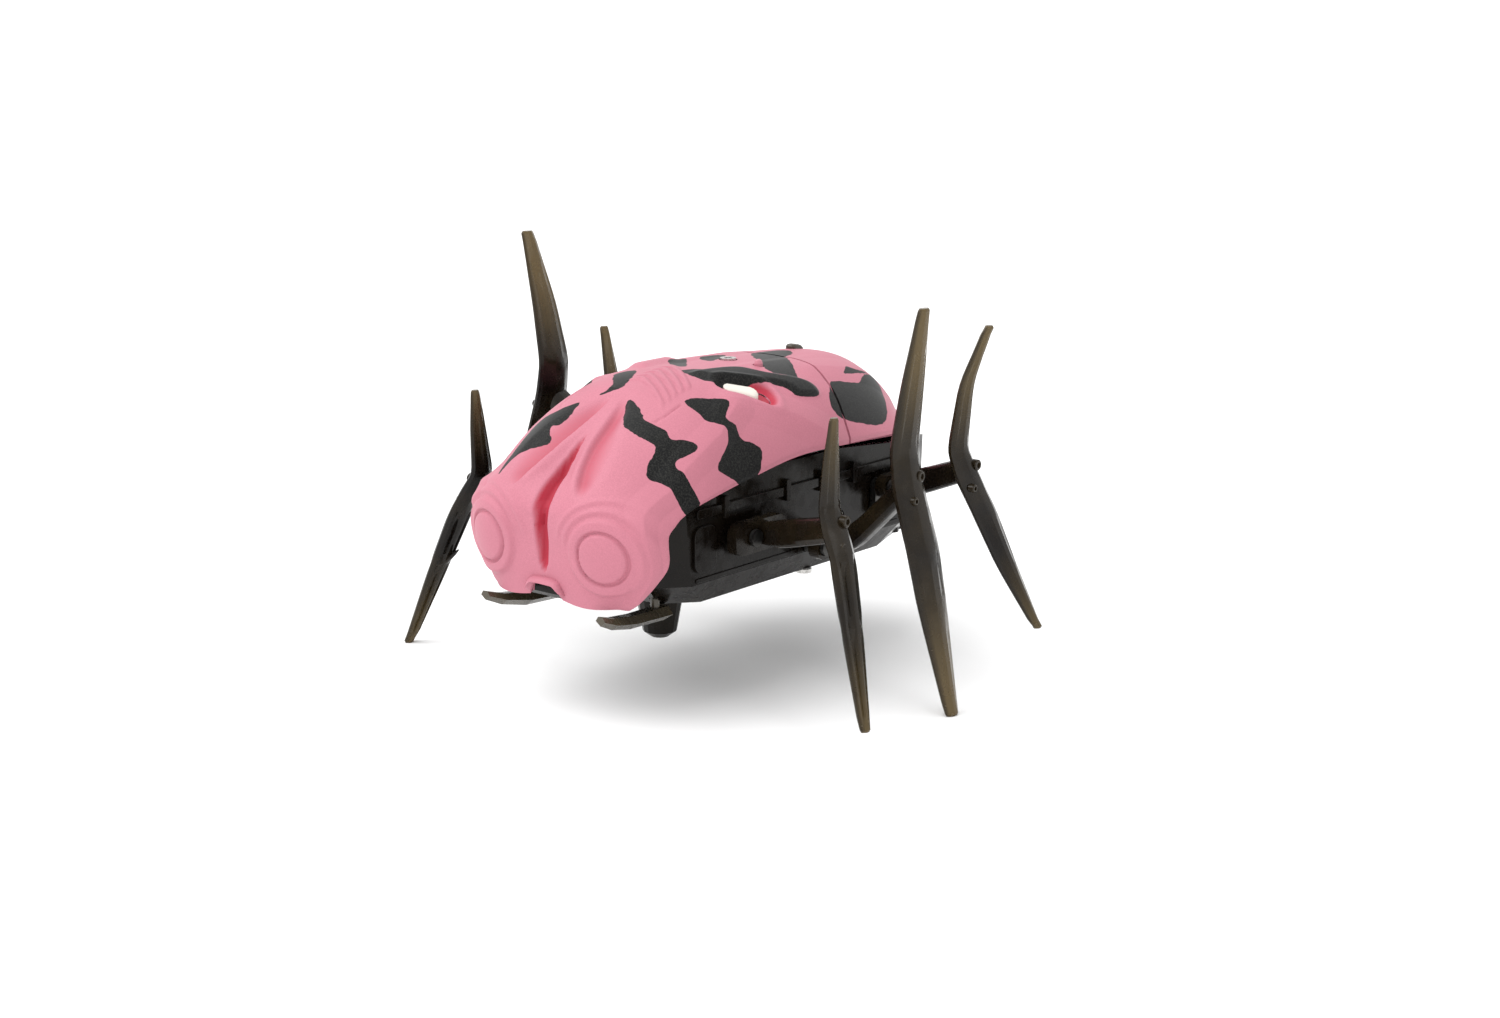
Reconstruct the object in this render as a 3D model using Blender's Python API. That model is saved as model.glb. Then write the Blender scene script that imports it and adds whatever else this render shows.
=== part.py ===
"""Six-legged walking robot, modelled as the separate pieces it is assembled from.

World frame: metres, +Z up, the robot looks along -Y and its own left side is +X.
The lengths below are millimetres and are turned into metres when a mesh is made.
"""

import math

import bmesh
import bpy
from mathutils import Vector

MM = 0.001
GAP = 0.3  # clearance between pieces that touch or turn on each other


# Walking gear: six cranks in two rows, turned together by one train of gears.
MODULE = 1.0
SIDE_TEETH = 15
CRANK_SPACING = 30.0
CRANK_Z = 43.0
THROWS = {"front": 3.5, "middle": 5.0, "rear": 6.5}
FOLLOWER_OFFSET = 11.0
SHAFT_R = 1.5
PIN_R = 1.6
PIN_CAP_R = 2.3
CRANK_HALF_WIDTH = 2.0
GEAR_X = (23.5, 26.5)
WEB_X = (30.6, 32.4)
LINK_X = (33.0, 36.0)
CAP_X = (36.4, 37.4)
SHAFT_INNER_X = 22.5
MIDDLE_SHAFT_INNER_X = 28.2  # the main axle ends inside the middle gears
STUB_INNER_X = 27.2

# Reduction train between the motor and the main axle.
DRIVE_TEETH = 21
LARGE_TEETH = 18
SMALL_TEETH = 8
DRIVE_X = (2.0, 5.5)
SECOND_X = (7.0, 10.5)
FIRST_X = (12.0, 15.0)
SECOND_ANGLE = math.radians(155)
FIRST_ANGLE = math.radians(175)
MOTOR_ANGLE = math.radians(180)
REDUCTION_SHAFT_X = (-1.0, 18.6)
FRAME_PLATES = ((-1.2, 0.6), (17.0, 18.8))

# Hull: a tub of constant wall, with a door in its floor.
WALL = 2.0
HULL_HALF = 30.0
HULL_BOTTOM = 29.0
HULL_FRONT = -58.0
HULL_BACK = 69.0
RIM_Z = 62.0
RIM_FRONT_Y = -26.0
RIM_BACK_Y = 14.0
RIM_FALLS = ((RIM_FRONT_Y, -0.27), (RIM_BACK_Y, 0.09), (51.0, 0.35))  # start along Y, slope
DOOR_Y = (13.5, 64.0)
DOOR_HALF = 18.0

# Shell.
SHELL_THICK = 1.6
SHELL_COLUMNS = 17
SHELL_ROWS_PER_SPAN = 3
PARTING_STATION = 7
PARTING_GAP = 0.02
LIP_RISE = 9.0
LIP_WIDTH = 9.0 / 29.0  # share of the half width

# What sits in the shell: its screw, a moulded peg and the power switch in its slanting pocket.
SCREW_PLACE = (0.0, 3.5)
SCREW_HEAD_R = 2.25
SCREW_HEAD_Z = 85.1
HEAD_THICK = 1.1
SHANK_R = 1.0
PEG_PLACE = (11.5, 2.4)
PEG_R = 1.2
PEG_TOP = 86.0
SWITCH_PLACE = (21.0, -14.5)
SWITCH_ANGLE = math.radians(55)
SWITCH_SLOT = (13.0, 4.6)
SWITCH_TRAVEL = 3.0
SWITCH_Z = 75.2

# Underneath: screws, the foot under the nose and the two mandibles.
BELLY_HEAD_R = 2.2
SCREW_SPOTS = ((-15.0, -30.0), (15.0, -30.0), (-23.0, 8.0), (23.0, 8.0))
SKID_PLACE = (2.5, -28.5)
MANDIBLE_X = 18.0
MANDIBLE_ROOT_Y = -52.0

# Circuit board on four posts above the cells.
BOARD_Z = 50.0
BOARD_Y = (19.0, 57.0)
BOARD_HALF = 22.5
POST_PLACES = ((-21.0, 24.0), (21.0, 24.0), (-21.0, 52.0), (21.0, 52.0))

# Batteries: three AAA cells side by side.
CELL_R = 5.25
CELL_LENGTH = 44.5
CELL_Y = 16.8
CELL_PITCH = 11.2
CELL_Z = HULL_BOTTOM + WALL + 0.6 + CELL_R

PINK = (0.80, 0.27, 0.36)
WHITE = (0.80, 0.78, 0.74)
SMOKE = (0.055, 0.045, 0.032)
STEEL = (0.62, 0.62, 0.62)
BRASS = (0.72, 0.53, 0.25)
BLACK = (0.02, 0.02, 0.022)
GREEN = (0.03, 0.20, 0.09)

SIDES = {"left": 1, "right": -1}
ROWS = ("front", "middle", "rear")

# Shell stations from the lower lip of the nose, over the back, to the tail:
# (centre y, z), (edge x, y, z), (edge handle x, y, z), centre handle as a share of the edge x.
STATIONS = (
    ((-69.5, 29.5), (23.0, -62.5, 31.5), (-3.0, -6.0, 1.8), 0.66),
    ((-71.0, 44.0), (31.0, -57.5, 42.0), (-0.4, -8.0, 0.7), 0.79),
    ((-71.5, 59.0), (31.5, -57.0, 51.5), (1.0, -7.0, 1.2), 0.76),
    ((-62.0, 71.5), (32.0, -50.0, 56.0), (-1.2, -5.0, 3.0), 0.62),
    ((-45.0, 79.8), (32.5, -40.0, 58.5), (-1.6, -2.0, 9.7), 0.74),
    ((-28.0, 84.8), (33.0, -27.0, 61.0), (-3.4, 0.0, 12.1), 0.76),
    ((-6.0, 85.3), (34.0, -8.0, 64.0), (-3.8, 0.0, 13.7), 0.68),
    ((21.0, 84.3), (34.0, 14.5, 64.0), (-4.7, 0.0, 11.4), 0.67),
    ((46.0, 81.6), (30.5, 41.0, 62.5), (-5.7, 1.0, 7.0), 0.52),
    ((63.0, 71.5), (22.0, 57.5, 59.5), (-4.4, 3.0, 2.8), 0.42),
    ((72.5, 58.0), (11.0, 70.5, 57.5), (1.0, 2.0, 1.0), 0.60),
)

# Legs, left side, crank at mid height: horizontal sections (x, y, z, width along Y, thickness along X)
# from the tip of the spike down to the foot, then the arm's sections (x, y, z, height, depth).
LEG_BLADES = {
    "front": (
        (62.6, -31.6, 77.5, 3.0, 2.2),
        (61.8, -31.6, 66.5, 5.6, 3.4),
        (61.0, -31.2, 54.5, 7.6, 4.4),
        (63.5, -32.2, 49.5, 9.0, 6.0),
        (67.0, -33.5, 43.5, 8.8, 5.2),
        (72.5, -37.0, 28.0, 7.6, 4.4),
        (81.0, -42.5, 3.5, 3.4, 2.6),
    ),
    "middle": (
        (69.0, -3.0, 110.5, 4.6, 2.6),
        (64.6, -1.2, 90.0, 9.0, 4.6),
        (61.8, -0.5, 73.5, 11.4, 5.4),
        (63.0, -0.5, 64.0, 12.0, 6.6),
        (68.2, -0.5, 47.5, 13.2, 5.8),
        (71.4, -0.5, 33.0, 11.6, 5.2),
        (78.1, -0.5, 5.0, 5.0, 3.0),
    ),
    "rear": (
        (68.3, 28.0, 91.0, 3.2, 2.4),
        (63.2, 25.6, 75.5, 5.6, 3.6),
        (61.2, 25.0, 58.0, 8.0, 4.6),
        (62.6, 27.0, 51.0, 9.6, 6.2),
        (66.2, 31.0, 40.0, 10.0, 5.4),
        (71.5, 34.4, 25.5, 8.0, 4.6),
        (79.0, 38.6, 8.5, 3.2, 2.6),
    ),
}
LEG_ARMS = {
    "front": ((34.5, -24.5, 43.0, 5.6, 4.6), (44.0, -27.0, 44.6, 7.6, 5.2), (63.5, -32.0, 49.5, 6.6, 5.6)),
    "middle": ((34.5, 5.5, 43.0, 5.6, 4.6), (44.0, 4.5, 47.0, 8.0, 5.6), (63.0, -0.2, 63.5, 7.4, 6.6)),
    "rear": ((34.5, 35.5, 43.0, 5.6, 4.6), (44.0, 34.0, 45.0, 7.6, 5.2), (62.8, 27.4, 52.0, 6.8, 5.6)),
}
# Barb on the inner edge of each lower blade: root and tip (x, y, z).
LEG_BARBS = {
    "front": ((73.0, -37.5, 26.0), (67.5, -35.0, 31.5)),
    "middle": ((71.0, -0.5, 31.0), (66.0, 2.0, 37.5)),
    "rear": ((70.0, 33.5, 29.0), (65.5, 31.0, 35.0)),
}
# Legs whose feet are on the ground; the other three are lifted by twice their throw.
STANDING = {("front", "right"), ("middle", "left"), ("rear", "right")}


# --- Mesh helpers -----------------------------------------------------------


def clear_scene():
    for obj in list(bpy.data.objects):
        bpy.data.objects.remove(obj, do_unlink=True)


def material(name, colour, roughness=0.45, metallic=0.0):
    made = bpy.data.materials.new(name)
    made.use_nodes = True
    shader = made.node_tree.nodes["Principled BSDF"]
    shader.inputs["Base Color"].default_value = (*colour, 1.0)
    shader.inputs["Roughness"].default_value = roughness
    shader.inputs["Metallic"].default_value = metallic
    return made


def solid(name, points, faces, look, origin=(0, 0, 0)):
    """A mesh object from points in millimetres, its origin at the given point."""
    base = Vector(origin)
    mesh = bpy.data.meshes.new(name)
    mesh.from_pydata([(Vector(p) - base) * MM for p in points], [], faces)
    work = bmesh.new()
    work.from_mesh(mesh)
    bmesh.ops.recalc_face_normals(work, faces=work.faces)
    work.to_mesh(mesh)
    work.free()
    if look:
        mesh.materials.append(look)
    mesh.shade_smooth()
    mesh.set_sharp_from_angle(angle=math.radians(30))
    obj = bpy.data.objects.new(name, mesh)
    obj.location = base * MM
    bpy.context.scene.collection.objects.link(obj)
    return obj


def combine(obj, operation, tool):
    """Unites or cuts obj with tool, which is then removed."""
    modifier = obj.modifiers.new("Boolean", "BOOLEAN")
    modifier.operation = operation
    modifier.solver = "MANIFOLD"
    modifier.object = tool
    graph = bpy.context.evaluated_depsgraph_get()
    result = bpy.data.meshes.new_from_object(obj.evaluated_get(graph))
    obj.modifiers.clear()
    old, obj.data = obj.data, result
    result.name = old.name
    bpy.data.meshes.remove(old)
    bpy.data.objects.remove(tool, do_unlink=True)
    return obj


def unite(obj, *tools):
    for tool in tools:
        combine(obj, "UNION", tool)
    return obj


def cut(obj, *tools):
    for tool in tools:
        combine(obj, "DIFFERENCE", tool)
    return obj


def loft(rings):
    """Points and faces of a closed solid through rings of equal length."""
    count = len(rings[0])
    points = [p for ring in rings for p in ring]
    faces = []
    for row in range(len(rings) - 1):
        for i in range(count):
            j = (i + 1) % count
            a, b = row * count, (row + 1) * count
            faces.append((a + i, a + j, b + j, b + i))
    faces.append(tuple(range(count)))
    faces.append(tuple(range((len(rings) - 1) * count, len(rings) * count)))
    return points, faces


def lofted(name, rings, look, origin=(0, 0, 0)):
    return solid(name, *loft(rings), look, origin)


def arc(centre, radius, start, end, steps):
    """Points on an arc in a plane, both ends included."""
    return [
        (
            centre[0] + radius * math.cos(start + (end - start) * i / steps),
            centre[1] + radius * math.sin(start + (end - start) * i / steps),
        )
        for i in range(steps + 1)
    ]


def circle(centre, radius, sides):
    return arc(centre, radius, 0.0, 2 * math.pi, sides)[:-1]


def capsule(a, b, radius, steps=8):
    """Outline round two points in the YZ plane."""
    angle = math.atan2(b[1] - a[1], b[0] - a[0])
    quarter = math.pi / 2
    return arc(b, radius, angle - quarter, angle + quarter, steps) + arc(
        a, radius, angle + quarter, angle + 3 * quarter, steps
    )


def rounded_rectangle(y0, y1, z0, z1, radius, steps=3):
    corners = ((y1, z1), (y0, z1), (y0, z0), (y1, z0))
    points = []
    middle_y, middle_z = (y0 + y1) / 2, (z0 + z1) / 2
    for i, (y, z) in enumerate(corners):
        centre = (y - math.copysign(radius, y - middle_y), z - math.copysign(radius, z - middle_z))
        points += arc(centre, radius, i * math.pi / 2, (i + 1) * math.pi / 2, steps)
    return points


def slab_x(name, outline, x0, x1, look, origin=(0, 0, 0)):
    """A (y, z) outline extruded from x0 to x1."""
    return lofted(name, [[(x, y, z) for y, z in outline] for x in (x0, x1)], look, origin)


def slab_z(name, outline, z0, z1, look, origin=(0, 0, 0)):
    """An (x, y) outline extruded from z0 to z1."""
    return lofted(name, [[(x, y, z) for x, y in outline] for z in (z0, z1)], look, origin)


def slab_y(name, outline, y0, y1, look, origin=(0, 0, 0)):
    """An (x, z) outline extruded from y0 to y1."""
    return lofted(name, [[(x, y, z) for x, z in outline] for y in (y0, y1)], look, origin)


def rod(name, centre, radius, x0, x1, look, sides=12, origin=(0, 0, 0)):
    return slab_x(name, circle(centre, radius, sides), x0, x1, look, origin)


# --- Gears ------------------------------------------------------------------


def pitch_radius(teeth):
    return MODULE * teeth / 2


def gear_outline(centre, teeth, phase):
    """Outline of a spur gear in the YZ plane, a tooth pointing along phase."""
    radius = pitch_radius(teeth)
    tip = radius + 0.60 * MODULE
    root = radius - 0.85 * MODULE
    step = 2 * math.pi / teeth
    corners = ((-0.29, root), (-0.10, tip), (0.10, tip), (0.29, root))
    points = []
    for tooth in range(teeth):
        for share, at in corners:
            angle = phase + (tooth + share) * step
            points.append((centre[0] + at * math.cos(angle), centre[1] + at * math.sin(angle)))
    return points


def meshing_phase(centre, teeth, phase, other, other_teeth):
    """Phase of a gear at other whose gap meets the tooth of the gear at centre."""
    direction = math.atan2(other[1] - centre[1], other[0] - centre[0])
    share = (direction - phase) * teeth / (2 * math.pi)
    return direction + math.pi - (0.5 - share) * 2 * math.pi / other_teeth


def bored_gear(name, centre, teeth, phase, x0, x1, look, x_origin):
    obj = slab_x(name, gear_outline(centre, teeth, phase), x0, x1, look, (x_origin, *centre))
    return cut(obj, rod("bore", centre, SHAFT_R + GAP, x0 - 1, x1 + 1, look))


# --- Shell ------------------------------------------------------------------


def spline(values, u):
    """Catmull-Rom value through equally spaced numbers or vectors, u from 0 to len - 1."""
    last = len(values) - 1
    i = min(int(u), last - 1)
    t = u - i
    p0, p1 = values[max(i - 1, 0)], values[i]
    p2, p3 = values[i + 1], values[min(i + 2, last)]
    square, cube = 2 * p0 - 5 * p1 + 4 * p2 - p3, 3 * p1 - p0 - 3 * p2 + p3
    return 0.5 * (2 * p1 + (p2 - p0) * t + square * t**2 + cube * t**3)


CENTRES = [Vector((0, *station[0])) for station in STATIONS]
EDGES = [Vector(station[1]) for station in STATIONS]
HANDLES = [Vector(station[2]) for station in STATIONS]
SHARES = [station[3] for station in STATIONS]


def lip_lift(u, side):
    """The lip is raised between the two cheeks, and fades out above them."""
    fade = max(0.0, 1.0 - u) ** 2
    return LIP_RISE * fade * math.exp(-((side / LIP_WIDTH) ** 2))


def shell_point(u, side):
    """A point of the shell's outer surface; side runs from -1 on the right edge to 1 on the left."""
    centre, edge = spline(CENTRES, u), spline(EDGES, u)
    handle, share = spline(HANDLES, u), spline(SHARES, u)
    t = abs(side)
    flat = centre + Vector((edge.x * share, 0, 0))
    drop = edge + handle
    point = centre * (1 - t) ** 3 + flat * 3 * t * (1 - t) ** 2 + drop * 3 * t**2 * (1 - t) + edge * t**3
    point.x *= 1 if side >= 0 else -1
    point.z += lip_lift(u, side)
    return point


def shell_normal(u, side):
    step = 0.01
    top = len(STATIONS) - 1
    along = shell_point(min(u + step, top), side) - shell_point(max(u - step, 0), side)
    across = shell_point(u, min(side + step, 1)) - shell_point(u, max(side - step, -1))
    return across.cross(along).normalized()


def shell_piece(name, u0, u1, look):
    """A stretch of the shell between two stations, of constant wall."""
    rows = round((u1 - u0) * SHELL_ROWS_PER_SPAN)
    us = [u0 + (u1 - u0) * i / rows for i in range(rows + 1)]
    sides = [-1 + 2 * i / (SHELL_COLUMNS - 1) for i in range(SHELL_COLUMNS)]
    outer = [shell_point(u, s) for u in us for s in sides]
    inner = [shell_point(u, s) - shell_normal(u, s) * SHELL_THICK for u in us for s in sides]
    count, faces = len(outer), []
    for r in range(rows):
        for c in range(SHELL_COLUMNS - 1):
            a = r * SHELL_COLUMNS + c
            b = a + SHELL_COLUMNS
            faces.append((a, a + 1, b + 1, b))
            faces.append((count + a, count + b, count + b + 1, count + a + 1))
    last = rows * SHELL_COLUMNS
    for c in range(SHELL_COLUMNS - 1):
        faces.append((c, count + c, count + c + 1, c + 1))
        faces.append((last + c, last + c + 1, count + last + c + 1, count + last + c))
    for r in range(rows):
        for c in (0, SHELL_COLUMNS - 1):
            a = r * SHELL_COLUMNS + c
            b = a + SHELL_COLUMNS
            faces.append((a, b, count + b, count + a))
    return solid(name, outer + inner, faces, look)


def slanted(outline):
    """An outline drawn along X, turned to the switch's direction and moved to its place."""
    along, across = math.cos(SWITCH_ANGLE), math.sin(SWITCH_ANGLE)
    x, y = SWITCH_PLACE
    return [(x + a * along - b * across, y + a * across + b * along) for a, b in outline]


def switch_capsule(length, width):
    half = (length - width) / 2
    return slanted(capsule((-half, 0.0), (half, 0.0), width / 2))


def make_shells(look):
    shell = shell_piece("top_shell", 0.0, PARTING_STATION - PARTING_GAP, look)
    hole = slab_z("hole", circle(SCREW_PLACE, SHANK_R + GAP, 12), 70, 95, look)
    under_head = SCREW_HEAD_Z - HEAD_THICK - GAP
    sink = slab_z("sink", circle(SCREW_PLACE, SCREW_HEAD_R + GAP, 20), under_head, 95, look)
    peg_hole = slab_z("hole", circle(PEG_PLACE, PEG_R + GAP, 12), 70, 95, look)
    slot = slab_z("slot", switch_capsule(*SWITCH_SLOT), 70, 95, look)
    cut(shell, hole, sink, peg_hole, slot)
    shell_piece("rear_cover", PARTING_STATION + PARTING_GAP, len(STATIONS) - 1, look)


# --- Hull -------------------------------------------------------------------


def hull_ring(z, half, front, back, inset=0.0, corner=12.0):
    """Plan outline of the hull at one height: cut-off corners, and points where the rim bends."""
    h, f, b = half - inset, front + inset, back - inset
    narrow = h - corner * 0.6
    left = [(narrow, f), (h, f + corner * 0.7), (h, RIM_FRONT_Y), (h, RIM_BACK_Y), (h, b - corner * 2.1)]
    left += [(narrow, b - corner * 0.4), (narrow * 0.8, b)]
    right = [(-x, y) for x, y in left[::-1]]
    return [(x, y, z) for x, y in left + right]


def rim(ring):
    """The rim stays just under the shell's edge, which is lower at the head and at the tail."""
    low = []
    for x, y, _ in ring:
        falls = [RIM_Z - slope * (y - start) for start, slope in RIM_FALLS]
        low.append((x, y, min(RIM_Z, *falls)))
    return low


def hull_rings(inset, floor):
    return [
        hull_ring(floor, 24.5, HULL_FRONT + 12, HULL_BACK - 4, inset),
        hull_ring(36.0, HULL_HALF, HULL_FRONT + 2, HULL_BACK - 1, inset),
        rim(hull_ring(60.0, HULL_HALF, HULL_FRONT, HULL_BACK, inset)),
    ]


def floor_hole(place, radius):
    """A cutter through the hull's floor."""
    return slab_z("hole", circle(place, radius, 12), HULL_BOTTOM - 9, HULL_BOTTOM + 11, None)


def make_chassis(look):
    outer = hull_rings(0.0, HULL_BOTTOM)
    inner = hull_rings(WALL, HULL_BOTTOM + WALL)
    tub = lofted("chassis_tub", outer + inner[::-1], look)
    door = rounded_rectangle(-DOOR_HALF, DOOR_HALF, *DOOR_Y, 2.0)
    cut(tub, slab_z("door", door, HULL_BOTTOM - 9, HULL_BOTTOM + 6, look))
    shaft_places = crank_places() + [y + FOLLOWER_OFFSET for y in crank_places()] + idler_places()
    for y in shaft_places:
        for side in SIDES.values():
            span = sorted((side * (HULL_HALF - WALL - 1.1), side * (HULL_HALF + 3)))
            cut(tub, rod("hole", (y, CRANK_Z), SHAFT_R + GAP, *span, look))
    for place in POST_PLACES:
        unite(tub, slab_z("post", circle(place, 2.0, 12), HULL_BOTTOM + WALL - 0.5, BOARD_Z - GAP, look))
    for place in SCREW_SPOTS:
        cut(tub, floor_hole(place, SHANK_R + GAP))
    cut(tub, floor_hole(SKID_PLACE, 2.0))
    for side in SIDES.values():
        cut(tub, floor_hole((side * MANDIBLE_X, MANDIBLE_ROOT_Y + 4), 1.5))


def make_belly_cover(look, metal):
    outline = rounded_rectangle(-DOOR_HALF + GAP, DOOR_HALF - GAP, DOOR_Y[0] + GAP, DOOR_Y[1] - GAP, 1.8)
    cover = slab_z("belly_cover", outline, HULL_BOTTOM, HULL_BOTTOM + WALL, look)
    spot = (CELL_PITCH / 2, DOOR_Y[1] - 4.0)
    head_z = HULL_BOTTOM + 0.1
    under_head = head_z + HEAD_THICK + GAP
    sink = slab_z("sink", circle(spot, BELLY_HEAD_R + GAP, 20), HULL_BOTTOM - 1, under_head, look)
    cut(cover, floor_hole(spot, SHANK_R + GAP), sink)
    screw("door_screw", spot, head_z, HULL_BOTTOM + 3.5, metal, BELLY_HEAD_R, False)


def screw(name, place, z_head, z_tip, look, head_r, head_up):
    """A screw standing along Z: the head's outer face, with a cross in it, is at z_head."""
    away = -1 if head_up else 1
    under = z_head + away * HEAD_THICK
    head = slab_z(name, circle(place, head_r, 20), *sorted((z_head, under)), look, (*place, z_head))
    span = sorted((under - away * 0.4, z_tip))
    unite(head, slab_z("shank", circle(place, SHANK_R, 12), *span, look))
    arm, half_width = head_r * 0.62, 0.28
    for a, b in ((arm, half_width), (half_width, arm)):
        outline = [(place[0] + x, place[1] + y) for x, y in ((-a, -b), (a, -b), (a, b), (-a, b))]
        span = sorted((z_head - away * 1.0, z_head + away * 0.7))
        cut(head, slab_z("slot", outline, *span, look))
    return head


# --- Legs and cranks ----------------------------------------------------------


def crank_places():
    return [-CRANK_SPACING, 0.0, CRANK_SPACING]


def idler_places():
    return [-CRANK_SPACING / 2, CRANK_SPACING / 2]


def lift(row, side):
    """Height of a crank pin above its shaft: down for a standing leg, up for a lifted one."""
    return -THROWS[row] if (row, side) in STANDING else THROWS[row]


def mirrored(points, side):
    return [(x * side, y, z) for x, y, z in points]


def blade_ring(x, y, z, width, thick):
    """Eight-sided section with a flat ridge on each broad face, level at height z."""
    plan = (
        (0.5, 0.16), (0.14, 0.5), (-0.14, 0.5), (-0.5, 0.16),
        (-0.5, -0.16), (-0.14, -0.5), (0.14, -0.5), (0.5, -0.16),
    )
    return [(x + thick * b, y + width * a, z) for a, b in plan]


def arm_ring(x, y, z, height, depth):
    """Eight-sided section of an arm, upright at distance x."""
    plan = (
        (0.5, 0.25), (0.25, 0.5), (-0.25, 0.5), (-0.5, 0.25),
        (-0.5, -0.25), (-0.25, -0.5), (0.25, -0.5), (0.5, -0.25),
    )
    return [(x, y + depth * a, z + height * b) for a, b in plan]


def square_ring(x, y, z, half, up):
    return [(x + a * half, y + b * half, z + up) for a, b in ((1, 1), (-1, 1), (-1, -1), (1, -1))]


def make_leg(row, side_name, look):
    side = SIDES[side_name]
    up = lift(row, side_name)
    y = crank_places()[ROWS.index(row)]
    pin = (y, CRANK_Z + up)
    far_pin = (y + FOLLOWER_OFFSET, CRANK_Z + up)
    name = f"leg_{row}_{side_name}"
    origin = (side * LINK_X[0], *pin)
    blade = [blade_ring(a, b, c + up, w, t) for a, b, c, w, t in LEG_BLADES[row]]
    leg = lofted(name, [mirrored(ring, side) for ring in blade], look, origin)
    arm = [arm_ring(a, b, c + up, h, d) for a, b, c, h, d in LEG_ARMS[row]]
    unite(leg, lofted("arm", [mirrored(ring, side) for ring in arm], look))
    link = slab_x("link", capsule(pin, far_pin, 3.2), *sorted(side * x for x in LINK_X), look)
    unite(leg, link)
    root, tip = LEG_BARBS[row]
    barb = [square_ring(*root, 1.2, up), square_ring(*tip, 0.4, up)]
    unite(leg, lofted("barb", [mirrored(ring, side) for ring in barb], look))
    span = sorted((side * (LINK_X[0] - 1), side * (CAP_X[1] + 3)))
    for centre in (pin, far_pin):
        cut(leg, rod("bore", centre, PIN_R + GAP, *span, look))
        recess = sorted((side * (LINK_X[1]), side * (CAP_X[1] + 3)))
        cut(leg, rod("recess", centre, PIN_CAP_R + 0.5, *recess, look))
    return leg


def crank_web(name, y, up, side, inner_x, look):
    """A crank: shaft, web and pin with its cap."""
    shaft, pin = (y, CRANK_Z), (y, CRANK_Z + up)
    origin = (side * WEB_X[0], *shaft)
    span = sorted(side * x for x in WEB_X)
    web = slab_x(name, capsule(shaft, pin, CRANK_HALF_WIDTH), *span, look, origin)
    unite(web, rod("shaft", shaft, SHAFT_R, *sorted((side * inner_x, side * (WEB_X[0] + 0.6))), look))
    unite(web, rod("pin", pin, PIN_R, *sorted((side * (WEB_X[1] - 0.6), side * CAP_X[1])), look))
    unite(web, rod("cap", pin, PIN_CAP_R, *sorted(side * x for x in CAP_X), look))
    return web


def train_phases():
    """Phase of each crank gear and idler, meshed outwards from the middle gear."""
    middle = (0.0, CRANK_Z)
    phases = {"middle": 0.0}
    for end, y in (("front", -CRANK_SPACING), ("rear", CRANK_SPACING)):
        idler, last = (y / 2, CRANK_Z), (y, CRANK_Z)
        phases["idler_" + end] = meshing_phase(middle, SIDE_TEETH, 0.0, idler, SIDE_TEETH)
        phases[end] = meshing_phase(idler, SIDE_TEETH, phases["idler_" + end], last, SIDE_TEETH)
    return phases


def make_walking_gear(nylon, steel, smoke):
    phases = train_phases()
    for side_name, side in SIDES.items():
        x0, x1 = sorted(side * x for x in GEAR_X)
        middle = GEAR_X[0] * side
        for row, y in zip(ROWS, crank_places()):
            inner = MIDDLE_SHAFT_INNER_X if row == "middle" else SHAFT_INNER_X
            up = lift(row, side_name)
            own = f"{row}_{side_name}"
            crank_web(f"crank_{own}", y, up, side, inner, steel)
            crank_web(f"follower_{own}", y + FOLLOWER_OFFSET, up, side, STUB_INNER_X, steel)
            bored_gear(f"gear_{own}", (y, CRANK_Z), SIDE_TEETH, phases[row], x0, x1, nylon, middle)
            make_leg(row, side_name, smoke)
        for end, y in zip(("front", "rear"), idler_places()):
            name = f"idler_{end}_{side_name}"
            outline = gear_outline((y, CRANK_Z), SIDE_TEETH, phases["idler_" + end])
            idler = slab_x(name, outline, x0, x1, nylon, (middle, y, CRANK_Z))
            span = sorted((side * (GEAR_X[1] - 1), side * (HULL_HALF - 0.2)))
            unite(idler, rod("stub", (y, CRANK_Z), SHAFT_R, *span, nylon))


# --- Motor and reduction ------------------------------------------------------


def polar(centre, radius, angle):
    return (centre[0] + radius * math.cos(angle), centre[1] + radius * math.sin(angle))


MAIN_AXIS = (0.0, CRANK_Z)
SECOND_AXIS = polar(MAIN_AXIS, pitch_radius(DRIVE_TEETH + SMALL_TEETH), SECOND_ANGLE)
FIRST_AXIS = polar(SECOND_AXIS, pitch_radius(LARGE_TEETH + SMALL_TEETH), FIRST_ANGLE)
MOTOR_AXIS = polar(FIRST_AXIS, pitch_radius(LARGE_TEETH + SMALL_TEETH), MOTOR_ANGLE)


def compound_gear(name, centre, small_phase, small_x, large_phase, large_x, shaft_x, look):
    """A large gear and a pinion on one shaft, each over its own stretch of X."""
    origin = (large_x[0], *centre)
    gear = slab_x(name, gear_outline(centre, LARGE_TEETH, large_phase), *large_x, look, origin)
    lo, hi = small_x
    if lo < large_x[0]:
        hi = large_x[0] + 0.5
    unite(gear, slab_x("pinion", gear_outline(centre, SMALL_TEETH, small_phase), lo, hi, look))
    return unite(gear, rod("shaft", centre, SHAFT_R - 0.3, *shaft_x, look))


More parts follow.
